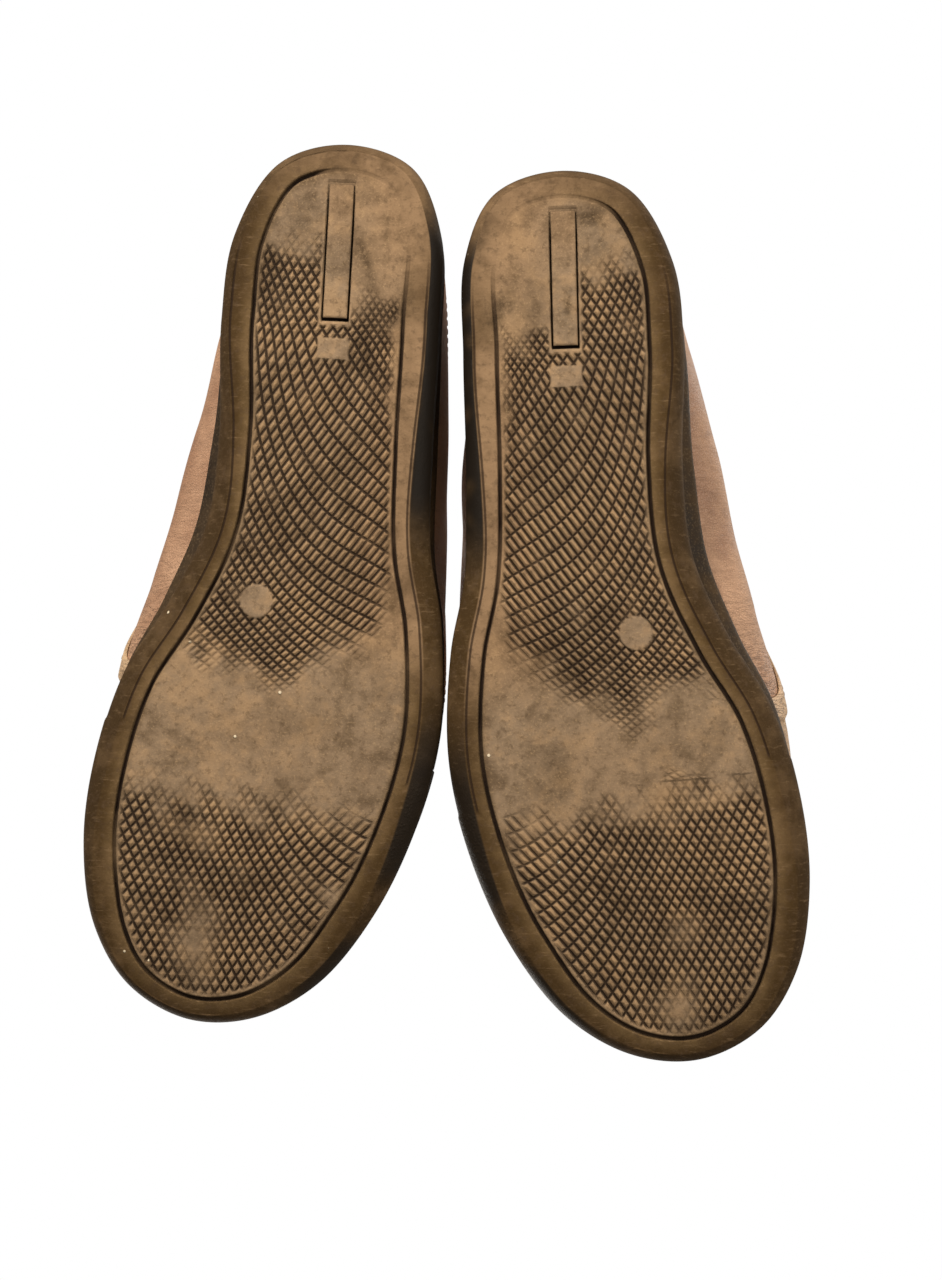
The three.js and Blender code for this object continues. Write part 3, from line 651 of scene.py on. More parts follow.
def fibreMaterial(name, base, light, scale, roughness):
    # Board, foam and lining: fine fibres or cells in two tones.
    material, g, shader = newMaterial(name, roughness)
    place = g.place()
    soft = g.noise(place, scale * 0.1, 4.0, 0.6)
    fine = g.noise(place, scale, 4.0, 0.7)
    tone = g.mix(g.step(soft, 0.35, 0.65), base, light)
    tone = g.mix(g.times(g.step(fine, 0.45, 0.7), 0.3), tone, colour(120, 100, 78))
    g.put(shader.inputs["Base Color"], tone)
    g.bump(shader, fine, 0.12)
    return material


def steelMaterial():
    # Spring steel, brushed along its length.
    material, g, shader = newMaterial("springSteel", 0.35)
    brushed = g.noise(g.stretch(g.place(), 2500, 60, 600), 1.0, 3.0, 0.6)
    g.put(shader.inputs["Base Color"], g.mix(brushed, colour(120, 122, 126), colour(178, 180, 184)))
    g.put(shader.inputs["Roughness"], g.step(brushed, 0.3, 0.7, 0.28, 0.5))
    shader.inputs["Metallic"].default_value = 1.0
    g.bump(shader, brushed, 0.02)
    return material


def threadMaterial():
    # Thread and drawstring: two browns in fine flecks.
    material, g, shader = newMaterial("thread", 0.7)
    twist = g.noise(g.place(), 2600.0, 2.0, 0.5)
    g.put(shader.inputs["Base Color"], g.mix(g.step(twist, 0.35, 0.65), colour(96, 70, 50), colour(150, 118, 92)))
    g.bump(shader, twist, 0.08)
    return material


quarterTones = colour(148, 108, 80), colour(178, 138, 107), colour(108, 76, 54)
vampTones = colour(164, 130, 98), colour(198, 166, 128), colour(120, 88, 62)
bindingTones = colour(132, 96, 76), colour(160, 122, 98), colour(92, 62, 46)
looks = {
    "sole": soleMaterial(),
    "band": rubberMaterial("bandRubber", 0.55),
    "bumper": rubberMaterial("bumperRubber", 0.42),
    "quarter": leatherMaterial("quarterLeather", *quarterTones),
    "vamp": leatherMaterial("vampLeather", *vampTones),
    "binding": leatherMaterial("bindingLeather", *bindingTones, 0.7),
    "lining": fibreMaterial("liningLeather", colour(196, 172, 142), colour(216, 194, 164), 1400.0, 0.75),
    "board": fibreMaterial("fibreBoard", colour(172, 150, 118), colour(192, 172, 140), 900.0, 0.9),
    "foam": fibreMaterial("latexFoam", colour(206, 198, 180), colour(224, 218, 202), 1800.0, 0.95),
    "steel": steelMaterial(),
    "thread": threadMaterial(),
}
print("materials made")


def addPiece(name, side, node, look, points, faces, fields, smoothAngle):
    # Makes one piece of a slipper with its look, in the place of its CAD node.
    piece = makeMesh(side + "_" + name, points, faces, side, fields, smoothAngle)
    piece.data.materials.append(looks[look])
    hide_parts(side + "_" + node)


# The camera looks up at the soles from below, from a little to one side.
view = {"aim": (-0.0086, -0.0106, 0.0), "distance": 0.541, "tilt": 3.5, "lens": 53.1}
camera = bpy.data.objects.new("camera", bpy.data.cameras.new("camera"))
bpy.context.collection.objects.link(camera)
camera.data.lens = view["lens"]
camera.data.clip_start = 0.01
tilt = math.radians(view["tilt"])
back = Vector((-math.sin(tilt), 0, -math.cos(tilt)))
across = (-back).cross(Vector((0, 1, 0))).normalized()
upward = across.cross(-back).normalized()
camera.matrix_world = Matrix.Translation(Vector(view["aim"]) + back * view["distance"]) @ Matrix(
    [(across[k], upward[k], back[k]) for k in range(3)]
).to_4x4()
bpy.context.scene.camera = camera

# The outsole, in millimetres.
outsole = {
    "stations": 960, "columns": 172,
    "channelIn": 10, "channelInLessAtToe": 2.6, "channelInLessAtHeel": 1.6,
    "grooveDepth": 0.5, "channelDepth": 0.9, "slotDepth": 1.8, "slotDepthWorn": 0.5, "seamDepth": 0.25,
    "flare": 3.2, "flareMoreAtWaist": 2.4,  # how far the ground face stands inside the outline
    "wallSteps": [(0.9, 0.12), (0.72, 0.55), (0.5, 1.3), (0.3, 2.3), (0.14, 3.4), (0.03, 4.6), (0.0, 5.6)],
    "topSteps": [(0.5, 0.0), (0.86, 0.05), (0.97, 0.35), (1.0, 0.9)],
    "bumperInner": 175, "bumperOuter": 182,  # where the toe bumper's seam crosses the edge
    "ripple": 0.06, "swell": 0.1,
}
bar = {"width": 7.0, "length": 38.5, "middle": (-1.5, 31.75), "turn": -5.0, "sideGap": 0.5, "endGap": 1.0}
pad = {"behind": 28.3, "halfWidth": 4.6, "halfLength": 3.2}  # plain pad behind the bar
disc = {"middle": (7.7, 135), "radius": 4.9}
# Where each sole is worn: bald spots are (w, t, radii, share) and smudges (w, t, radii, turn, share).
wear = {
    "right": {
        "seed": 11, "ringFrom": 6, "frontFrom": 194, "frontSkew": 0,
        "bald": [(12, 236, 6, 13, 1), (-27, 217, 6, 4, 0.9), (16, 204, 9, 5, 0.55)],
        "smudges": [
            (-9, 32, 1.6, 8, 0.5, 0.8), (-21, 47, 3, 9, -0.4, 0.6), (10, 24, 9, 10, 0, 0.45),
            (-14, 60, 2, 10, 0.3, 0.5), (20, 205, 5, 10, 0.2, 0.45), (-10, 168, 9, 5, 0.2, 0.35),
        ],
        "barSmudge": 0.0,
    },
    "left": {
        "seed": 57, "ringFrom": 14, "frontFrom": 186, "frontSkew": -0.12,
        "bald": [(8, 244, 6, 7, 1), (12, 222, 5, 6, 0.5)],
        "smudges": [
            (-20, 38, 2.6, 7, 0.7, 0.9), (-24, 17, 3, 7, 0.6, 0.8), (8, 15, 5, 3, 0.2, 0.85),
            (10, 26, 8, 9, 0, 0.4), (-12, 40, 5, 12, 0.2, 0.35), (-20, 172, 6, 10, 0.4, 0.5),
            (14, 168, 10, 6, 0.3, 0.3),
        ],
        "barSmudge": 0.8,
    },
}


def barSpace(w, t):
    # Turned into the frame of the heel bar: u across it and v along it, from its middle.
    angle = math.radians(bar["turn"])
    x = w - bar["middle"][0]
    y = bar["middle"][1] - t
    return x * math.cos(angle) + y * math.sin(angle), x * math.sin(angle) - y * math.cos(angle)


def treadPhases(w, t):
    # Two families of lines, drawn where a phase is whole. Behind: straight lines whose spacing eases from 2.4 to
    # 3.3 mm, and a fan of arcs as a polynomial of the place. In front: two slightly waved sets of straight lines.
    heelward = np.minimum(0, t - 57)
    denser = smooth(t, 88, 46) * w
    p = 0.866 * w - 0.5 * t - 0.16 * heelward - 0.00325 * np.maximum(0, t - 115) ** 2
    rearA = p / 2.4 - (1 / 2.4 - 1 / 3.3) * 3 * np.logaddexp(0, (p + 32) / 3) + 0.06 * denser
    x = (w + 5) / 25
    y = (t - 95) / 60
    rearB = -1.05 + 7.01 * y + 1.74 * y**2 + 2.75 * y**3 - 0.23 * y**4
    rearB += x * (2.84 - 0.37 * y + 3.03 * y**2 - 0.83 * y**3) + x**2 * (1.95 + 2.2 * y - 2.62 * y**2)
    rearB += x**3 * (1.31 - 1.88 * y) - 0.62 * x**4 + 0.05 * (heelward + denser)
    frontA = (0.83 * w - 0.56 * t) / 2.85 + 0.5 * np.sin(w / 17) + 0.35 * np.sin(t / 13)
    frontB = (0.85 * w + 0.52 * t) / 3.1 + 0.0035 * np.minimum(w, 0) ** 2
    front = t > 178
    closer = 1.18
    return np.where(front, frontA, rearA) * closer, np.where(front, frontB, rearB) * closer


def phaseRates(w, t, phases):
    # How fast each phase grows for a millimetre, at most a half: the length of its slope over a tenth each way.
    nearRight = treadPhases(w + 0.1, t)
    nearAhead = treadPhases(w, t + 0.1)
    return [np.minimum(np.hypot(r - p, a - p) * 10, 0.5) for p, r, a in zip(phases, nearRight, nearAhead)]


def channelInset(t):
    # How far in from the outline the framing channel runs; less at the toe and at the heel.
    share = t / sole["length"]
    atToe = outsole["channelInLessAtToe"] * smooth(share, 0.85, 1)
    return outsole["channelIn"] - atToe - outsole["channelInLessAtHeel"] * (1 - smooth(share, 0, 0.2))


def wallFlare(t):
    # How far the ground face stands inside the outline: more at the waist than at both ends.
    share = t / sole["length"]
    waist = smooth(share, 0.2, 0.42) * (1 - smooth(share, 0.68, 0.9))
    return outsole["flare"] + outsole["flareMoreAtWaist"] * waist


def insetOf(w, t):
    # Distance in from the outline: the least distance to its points, in batches.
    edge = soleEdge(700)
    least = np.full(len(w), 1e9)
    for start in range(0, len(w), 8000):
        part = slice(start, start + 8000)
        away = (w[part, None] - edge[None, :, 0]) ** 2 + (-t[part, None] - edge[None, :, 1]) ** 2
        least[part] = np.sqrt(away.min(axis=1))
    return least


outline = soleEdge(outsole["stations"])
outlineInward = inwardOf(outline)
outlineAlong = -outline[:, 1]


def ringAt(inset, height):
    # The outline moved in, at a height over the toe spring.
    flat = outline + outlineInward * np.broadcast_to(inset, (len(outline),))[:, None]
    return np.concatenate([flat, (toeRise(-flat[:, 1]) + height)[:, None]], axis=1)


def bumperSeam(w):
    # Where the toe bumper ends along the edge, on the inner and on the outer side.
    return np.where(w > 0, outsole["bumperInner"], outsole["bumperOuter"])


def treadMask(w, t, channel, ragged, own):
    # Where the tread still stands: behind and in front of the ball with ragged, fading ends, less the bald
    # spots, the framing channel, the bar, the pad and the disc.
    rearFrom = 47 - 16 * smooth(w, -8, 1)
    rearTo = 158 - 0.7 * np.maximum(-w, 0) - 0.3 * np.maximum(w, 0)
    rearSide = -21 - 8 * smooth(t, 62, 96)
    rear = smooth(t + ragged, rearFrom - 5, rearFrom + 7) * smooth(t + ragged, rearTo + 6, rearTo - 9)
    rear *= smooth(w + ragged * 0.5, rearSide - 2.5, rearSide + 2.5)
    frontFrom = own["frontFrom"] + own["frontSkew"] * w
    front = smooth(t + ragged * 1.1, frontFrom - 8, frontFrom + 9)
    for x, y, rx, ry, much in own["bald"]:
        front *= 1 - much * spot(w, t, x, y, rx, ry)
    roughly = 0.72 + 0.28 * field(w, t, 14, own["seed"] + 3)
    mask = np.clip(np.maximum(rear, front) * (0.7 + 0.5 * roughly), 0, 1) * smooth(channel, 0.9, 2.2)
    u, v = barSpace(w, t)
    mask *= smooth(np.maximum(np.abs(u) - 4.6, np.abs(v) - 21.5), -0.2, 0.8)
    mask *= smooth(np.maximum(np.abs(u) - pad["halfWidth"], np.abs(v - pad["behind"]) - pad["halfLength"]), -0.3, 0.4)
    fromDisc = np.hypot(w - disc["middle"][0], t - disc["middle"][1]) - disc["radius"]
    return mask * smooth(fromDisc, -0.3, 0.3)


def channelKeep(w, t, own):
    # How much of the framing channel is left: worn off on the outer side of the heel and over its back.
    keep = 1 - hump(t, 22, 17) * smooth(-w, 6, 16)
    keep *= 1 - 0.95 * hump(t, 6, 12) * smooth(-w, -own["ringFrom"] - 5, -own["ringFrom"] + 3)
    return np.clip(keep * (1 + 0.2 * field(w, t, 30, own["seed"] + 5)), 0, 1)


def tanMask(w, t, inset, height, wall):
    # Rubbed down to tan: the outer heel, its back edge, a patch behind the ball and the rim at the outer waist.
    tan = spot(w, t, -19, 20, 15, 30) + 0.6 * hump(t, 0, 13) + 0.3 * spot(w, t, 0, 172, 30, 18)
    tan += 1.1 * smooth(-w, 12, 24) * smooth(t, 40, 60) * smooth(t, 160, 130) * smooth(inset, 2.5, 5)
    return np.clip(np.where(wall, tan * 0.4 * smooth(height, 6, 1), tan), 0, 1)


def cleanMask(w, t, inset, ragged, wall):
    # Bare dark rubber: patches along the outer edge, and a little on the inner wall.
    patches = smooth(t, 12, 26) * (1 - smooth(t, 96, 120)) + 0.9 * smooth(t, 150, 178) * (1 - smooth(t, 205, 215))
    patches += 0.8 * smooth(t, 222, 232) * (1 - smooth(t, 246, 252))
    reach = smooth(inset + ragged * 0.3, 3.4, 0.4)
    return np.clip(smooth(-w, 10, 25) * patches * reach + wall * 0.1 * (w > 0), 0, 1)


def smudgeMask(w, t, own, wall):
    # Dark scuffs: the strongest of several turned oval spots.
    mask = np.zeros(len(w))
    for x, y, rx, ry, turn, much in own["smudges"]:
        u = (w - x) * math.cos(turn) + (t - y) * math.sin(turn)
        v = (t - y) * math.cos(turn) - (w - x) * math.sin(turn)
        mask = np.maximum(mask, much * spot(u, v, 0, 0, rx, ry))
    return np.where(wall, 0, mask)


def soleFields(points, side, wallStart):
    # The looks of the rubber as one value for each point, and its lift off the flat ground face; points from
    # wallStart on belong to the wall.
    own = wear[side]
    w = points[:, 0]
    t = -points[:, 1]
    wall = np.arange(len(w)) >= wallStart
    inset = np.zeros(len(w))
    inset[:wallStart] = insetOf(w[:wallStart], t[:wallStart])
    channel = inset - channelInset(t)
    ragged = field(w, t, 9, own["seed"]) * 1.8 + field(w, t, 23, own["seed"] + 1) * 2.2
    tread = treadMask(w, t, channel, ragged, own)
    phases = treadPhases(w, t)
    rates = phaseRates(w, t, phases)
    keep = channelKeep(w, t, own)
    seam = bumperSeam(w)
    u, v = barSpace(w, t)
    fromBar = np.maximum(
        np.abs(u) - bar["width"] / 2 - bar["sideGap"],
        np.abs(v) - bar["length"] / 2 - bar["endGap"],
    )
    slot = smooth(fromBar, 0.25, -0.25)
    # Grooves and channel go in from the ground face, the slot for the bar deeper; a slight unevenness stays.
    deepness = outsole["slotDepthWorn"] + (outsole["slotDepth"] - outsole["slotDepthWorn"]) * smooth(v, -18, -8)
    lines = [smooth(np.abs((p + 0.5) % 1 - 0.5) / rate, 0.7, 0.15) for p, rate in zip(phases, rates)]
    lift = np.maximum(*lines) * tread * (1 - slot) * outsole["grooveDepth"]
    lift += smooth(np.abs(channel), 0.8, 0.25) * keep * outsole["channelDepth"] + slot * deepness
    lift += outsole["ripple"] * (1 + field(w, t, 6, own["seed"] + 7))
    lift += outsole["swell"] * (1 + field(w, t, 33, own["seed"] + 9))
    lift += hump(t, seam, 0.7) * (inset < 7) * outsole["seamDepth"]
    lift[wall] = 0
    fields = {
        "edge": inset + 4.5 * smooth(-w, 5, 25) * smooth(t, 190, 150),
        "channel": channel,
        "tread": tread * (1 - slot),
        "phaseA": phases[0], "phaseB": phases[1],
        "rateA": rates[0], "rateB": rates[1],
        "keep": keep,
        "parting": inset - wallFlare(t) - 0.4,
        "partingKeep": smooth(t, 26, 44) * (1 - smooth(t, seam - 2, seam)),
        "tan": tanMask(w, t, inset, points[:, 2], wall),
        "smudge": smudgeMask(w, t, own, wall),
        "clean": cleanMask(w, t, inset, ragged, wall),
        "dotted": smooth(-w, 25, 35) * smooth(t, 176, 184) * smooth(inset, 5, 3),
        # Painted shade in the gap round the bar, strongest at its toe-ward end and fading towards the heel.
        "gapShade": slot * (0.5 + 0.5 * smooth(v, 17.5, 19.6)) * smooth(v, -19.5, -10),
    }
    return fields, lift


def quadStrip(lower, higher):
    # Faces between two closed rows of the same number of points.
    return np.stack([lower, higher, np.roll(higher, -1), np.roll(lower, -1)], axis=1)


def makeOutsole(side):
    # The ground face as a ladder, a wall of rings that rolls out to the outline and stands up to the top edge,
    # and a rim of the top face under the upper.
    flare = wallFlare(outlineAlong)
    points, faces, lowest = ladder(ringAt(flare, 0), outsole["columns"])
    wallStart = len(points)
    seam = bumperSeam(outline[:, 0])
    ahead = smooth(outlineAlong, seam - 0.8, seam + 0.8)
    foot = outsole["wallSteps"][-1][1]
    top = soleTop(outlineAlong) - toeRise(outlineAlong)
    rings = [ringAt(flare * share - 0.35 * ahead * (1 - share), height) for share, height in outsole["wallSteps"]]
    rings += [ringAt(inset, foot + (top - foot) * share) for share, inset in outsole["topSteps"]]
    for k in range(len(rings)):
        above = wallStart + k * len(outline) + np.arange(len(outline))
        faces = np.concatenate([faces, quadStrip(lowest, above)])
        lowest = above
    inner = ringAt(upper["inset"] + 3, 0)
    inner[:, 2] = soleTop(-inner[:, 1])
    cap, capFaces, capRing = ladder(inner, 2, wallStart + len(rings) * len(outline))
    faces = np.concatenate([faces, quadStrip(lowest, capRing), capFaces[:, ::-1]])
    points = np.concatenate([points] + rings + [cap])
    fields, lift = soleFields(points, side, wallStart)
    points[:, 2] += lift
    addPiece("sole_shell", side, "outsole", "sole", points, faces, fields, 50)


def makeBar(side):
    # The heel bar: a turned rectangle with rounded edges, rubbed thin towards the back of the heel.
    v, u = np.meshgrid(
        np.linspace(-0.5, 0.5, 120) * bar["length"], np.linspace(-0.5, 0.5, 26) * bar["width"], indexing="ij"
    )
    angle = math.radians(bar["turn"])
    x = bar["middle"][0] + u * math.cos(angle) + v * math.sin(angle)
    t = bar["middle"][1] + v * math.cos(angle) - u * math.sin(angle)
    rim = np.maximum(np.abs(u) - bar["width"] / 2 + 0.5, np.abs(v) - bar["length"] / 2 + 0.5)
    low = 0.1 + 0.35 * smooth(rim, 0, 0.5) * smooth(v, -17, -10) + 0.05 * field(x, t, 7, 5)
    high = np.maximum(0.45 + 0.95 * smooth(v, -17, -7), low + 0.05)
    points, faces = twoFaced(np.stack([x, -t, low], axis=-1), np.stack([x, -t, high], axis=-1))
    both = lambda ground, buried: np.concatenate([ground.ravel(), buried.ravel()])
    smudge = wear[side]["barSmudge"] * spot(u, v, 0.8, 8, 1.3, 4)
    fields = {
        "edge": 20, "channel": 10, "parting": 5, "rateA": 0.3, "rateB": 0.3,
        "tread": 0, "phaseA": 0, "phaseB": 0, "keep": 0, "partingKeep": 0, "clean": 0, "dotted": 0,
        "tan": both(smooth(-v, -5, 15) * 0.8, 0 * v),
        "smudge": both(smudge, smudge),
        # Painted shade at the bar's edges, and over its buried face.
        "gapShade": both(smooth(rim, 0.1, 0.5) * 0.5, 0 * v + 1),
    }
    addPiece("heel_bar", side, "tread_bar", "sole", points, faces, fields, 50)


for side in sides:
    makeOutsole(side)
    makeBar(side)
print("soles made")

# The upper: seams are stations, the lap is in stations too and everything else in millimetres.
seams = {"outer": 12.0, "inner": 28.0, "lap": 0.42, "gap": 0.03, "lapRise": 1.25}
slack = {
    "dents": 0.35, "dentLength": 46, "folds": 0.28, "foldsAt": 160, "foldsOver": 13,
    "seed": {"right": 3, "left": 8},
}
strip = {"from": 39.45, "to": 40.55, "over": 1.35, "thickness": 0.9}  # heel strip
upperShares = np.linspace(0.03, 0.995, 56)


def stationRange(start, end, step=0.1):
    # Even stations from start to end, about a step apart.
    return np.linspace(start, end, max(3, int(round((end - start) / step)) + 1))


def wrinkled(s, r, side):
    # Slack in the empty upper: long soft dents from a random field, and a sine of short folds under a bell curve
    # where the ball of the foot bends it.
    seed = slack["seed"][side]
    points = onSkin(s, r, 0.0)
    along = -points[..., 1]
    dents = slack["dents"] * field(along, points[..., 2] * 1.6, slack["dentLength"], seed)
    folds = slack["folds"] * np.sin(along / 1.9 + 0.6 * field(along, points[..., 2], 12, seed + 1) * 3)
    folds *= hump(along, slack["foldsAt"], slack["foldsOver"]) * smooth(r, 0.42, 0.08)
    return (dents + folds) * smooth(r, 1.0, 0.82) * smooth(r, 0.0, 0.12)


def quarterFace(s, r, side):
    # The leather's inner face with its slack.
    return leatherFace(r) + wrinkled(s, r, side)


def vampFace(s, r, side):
    # The vamp's ends rise over the quarters they lap.
    over = smooth(s, seams["outer"] + 0.12, seams["outer"] - 0.02)
    over = over + smooth(s, seams["inner"] - 0.12, seams["inner"] + 0.02)
    return quarterFace(s, r, side) + seams["lapRise"] * over


def stripFace(s, r, side):
    # The heel strip lies over the quarters.
    return quarterFace(s, r, side) + strip["over"]


def liningFace(s, r, side):
    # The lining lies on the skin itself.
    return 0 * r


def boardFace(s, r, side):
    # Toe puff and heel counter lie over the lining.
    return upper["lining"] + upper["gap"] + 0 * r


def sheetPiece(name, side, node, slot, look, stations, shares, inner, thickness):
    # A sheet on the skin: two faces a thickness apart, which close up in a smooth step over the outermost
    # six tenths of a thickness, so that the edges are round.
    s, r = np.meshgrid(stations, shares, indexing="ij")
    base = inner(s, r, side)
    height = skinHeight(stations)[:, None] * np.ones_like(r)
    toRim = np.minimum(
        np.minimum(r - shares[0], shares[-1] - r) * height,
        np.minimum(s - stations[0], stations[-1] - s) * 15,
    )
    sunk = 0.35 * thickness * (1 - smooth(toRim, 0, 0.6 * thickness))
    points, faces = twoFaced(onSkin(s, r, base + thickness - sunk), onSkin(s, r, base + sunk * 0.6))
    flex = hump(-points[:, 1], 158, 20) * smooth(np.tile((r * height).ravel(), 2), 34, 4) + 0.25
    # Low is 1 near the sole, where the leather gets scuffs and painted shade.
    low = smooth(np.tile((r * height).ravel(), 2), 11, 6.0)
    fields = {"flex": np.clip(flex, 0, 1), "low": low}
    addPiece(name, side, node, look, points, faces, fields, 60)


vampRange = stationRange(seams["outer"] - seams["lap"], seams["inner"] + seams["lap"], 0.06)
outerRange = stationRange(seams["gap"], seams["outer"] - 0.05)
innerRange = stationRange(seams["inner"] + 0.05, stationCount - seams["gap"])
stripRange = stationRange(strip["from"], strip["to"], 0.05)
# Name, CAD node, slot, look, stations, shares, inner face and thickness of each sheet.
sheets = [
    ("vamp_leather", "vamp", "leather", "vamp",
     vampRange, upperShares, vampFace, upper["leather"]),
    ("lateral_leather", "lateral_quarter", "leather", "quarter",
     outerRange, upperShares, quarterFace, upper["leather"]),
    ("medial_leather", "medial_quarter", "leather", "quarter",
     innerRange, upperShares, quarterFace, upper["leather"]),
    ("vamp_lining_skin", "vamp_lining", "lining", "lining",
     stationRange(13.0, 27.0, 0.14), upperShares, liningFace, upper["lining"]),
    ("quarter_lining_skin", "quarter_lining", "lining", "lining",
     stationRange(27.03, 52.97, 0.14), upperShares, liningFace, upper["lining"]),
    ("toe_puff_shell", "toe_puff", "board", "board",
     stationRange(15, 25, 0.2), np.linspace(0.02, 0.32, 12), boardFace, upper["stiffener"]),
    ("heel_counter_shell", "heel_counter", "board", "board",
     stationRange(35, 45, 0.2), np.linspace(0.02, 0.66, 20), boardFace, upper["stiffener"]),
    ("heel_strip_leather", "heel_strip", "leather", "binding",
     stripRange, np.linspace(0.17, 0.87, 40), stripFace, strip["thickness"]),
]
for side in sides:
    for name, *rest in sheets:
        sheetPiece(name, side, *rest)
print("upper made")

# The rubber bands that stand on the sole's edge: stations, share of the upper they cover, and a belly in mm.
foxing = {"from": 27.04, "to": 52.96, "share": 0.15, "belly": 0.0}
bumper = {"from": 13.0, "to": 27.0, "share": 0.2, "belly": 0.06}
# Section of a band from its foot up and over: share of its height, and distance off the upper in thicknesses.
bandSection = [
    (0.1, 0.35), (0.3, 0.85), (0.5, 0.95), (0.7, 0.95), (0.85, 0.9), (0.95, 0.72), (1.0, 0.42), (1.0, 0.12),
    (0.93, 0.0), (0.6, 0.0),
]
bandThickness = 2.5


def bandPiece(name, side, node, look, band, dotted):
    # A strip with its foot on the edge of the sole: the section stands straight over the foot at first and
    # leans onto the upper by six tenths of its height.
    stations = stationRange(band["from"], band["to"], 0.05)
    edge = soleEdge(skinCount)
    inward = inwardOf(edge)
    column = (stations % stationCount) * skinCount / stationCount
    left = np.floor(column).astype(int)
    share = (column - left)[:, None]
    at = lambda grid: grid[left % skinCount] * (1 - share) + grid[(left + 1) % skinCount] * share
    onSole = lambda flat: np.concatenate([flat, (soleTop(-flat[:, 1]) + upper["gap"])[:, None]], axis=1)
    foot = onSole(at(edge) + at(inward) * 0.4)
    section = [onSole(at(edge) + at(inward) * 2.6), foot]
    offset = upper["thickness"] + upper["gap"]
    for k, (rise, out) in enumerate(bandSection):
        out += band["belly"] if k < 3 else 0
        target = onSkin(stations, band["share"] * rise, offset + bandThickness * min(out, 1 + band["belly"]))
        if rise < 0.6 and out > 0.1:
            blend = 1 - rise / 0.6
            straight = foot.copy()
            straight[:, 2] += rise * band["share"] * skinHeight(stations)
            target[:, :2] = target[:, :2] * (1 - blend) + straight[:, :2] * blend
            target[:, 2] = np.maximum(target[:, 2], foot[:, 2] + 0.3)
        section.append(target)
    points, faces = hoop(np.stack(section, axis=1), False)
    addPiece(name, side, node, look, points, faces, {"dotted": dotted}, 60)


# The folded tape over the topline. Its path goes up the outside, over the edge and down the inside: height
# (below the edge in legs, above it in mm), distance off the lining, and how far its normal points out.
binding = {"leg": 5.0, "tape": 0.8, "room": 2.8, "pucker": 0.22, "slots": 900}
bindingOut = float(leatherFace(np.array(1.0))) + upper["leather"] + 0.45
bindingPath = [
    (-1.0, bindingOut - 0.1, 1), (-0.62, bindingOut, 1), (-0.25, bindingOut, 1), (0.1, bindingOut, 1),
    (0.6, bindingOut + 0.05, 0.85), (1.0, bindingOut - 0.35, 0.6), (1.1, 1.15, 0), (1.0, -0.1, -0.6),
    (0.6, -0.45, -0.85), (0.1, -0.45, -1), (-0.5, -0.45, -1), (-1.0, -0.45, -1),
]


def overTopline(stations, rise, offset):
    # Above the edge the skin goes on straight, in the direction of its last step.
    step = onSkin(stations, 1.0, 0.0) - onSkin(stations, 0.97, 0.0)
    return onSkin(stations, 1.0, offset) + step / lengthsOf(step) * np.asarray(rise)[..., None]


def makeBinding(side):
    # A closed tube: the path with the tape's thickness added for the face, and as it is for the back. Two sines
    # of the station pucker it where the drawstring gathers it.
    stations = np.linspace(0, stationCount, binding["slots"], endpoint=False)
    leg = binding["leg"] / skinHeight(stations)
    swing = np.sin(stations * 2 * math.pi * 4.5 + 1.6 * np.sin(stations * 1.7))
    pucker = binding["pucker"] * swing * (0.7 + 0.3 * np.sin(stations * 0.9))
    face, back = [], []
    for height, offset, outward in bindingPath:
        for rows, tape, share in ((face, binding["tape"], 1.0), (back, 0.0, 0.3)):
            ripple = pucker * share * (1 if height > -0.9 else 0.4)
            reach = offset + tape * outward + ripple * np.sign(outward)
            if height < 0:
                rows.append(onSkin(stations, 1 + height * leg, reach))
            else:
                lifted = tape * math.sqrt(max(0.0, 1 - outward * outward))
                rise = height * binding["room"] / 1.1 + lifted + 0 * stations
                rows.append(overTopline(stations, rise, reach))
    points, faces = hoop(np.stack(face + back[::-1], axis=1), True)
    fields = {"flex": 0.2, "low": 0}
    addPiece("binding_tape", side, "topline_binding", "binding", points, faces, fields, 70)


# The sock lining lies on gap, insole board, filler and, at the heel, the pad.
sock = {"under": 6.6, "pad": 2.3, "padFrom": 74, "padTo": 99, "thickness": 1.2, "stations": 480, "columns": 60}


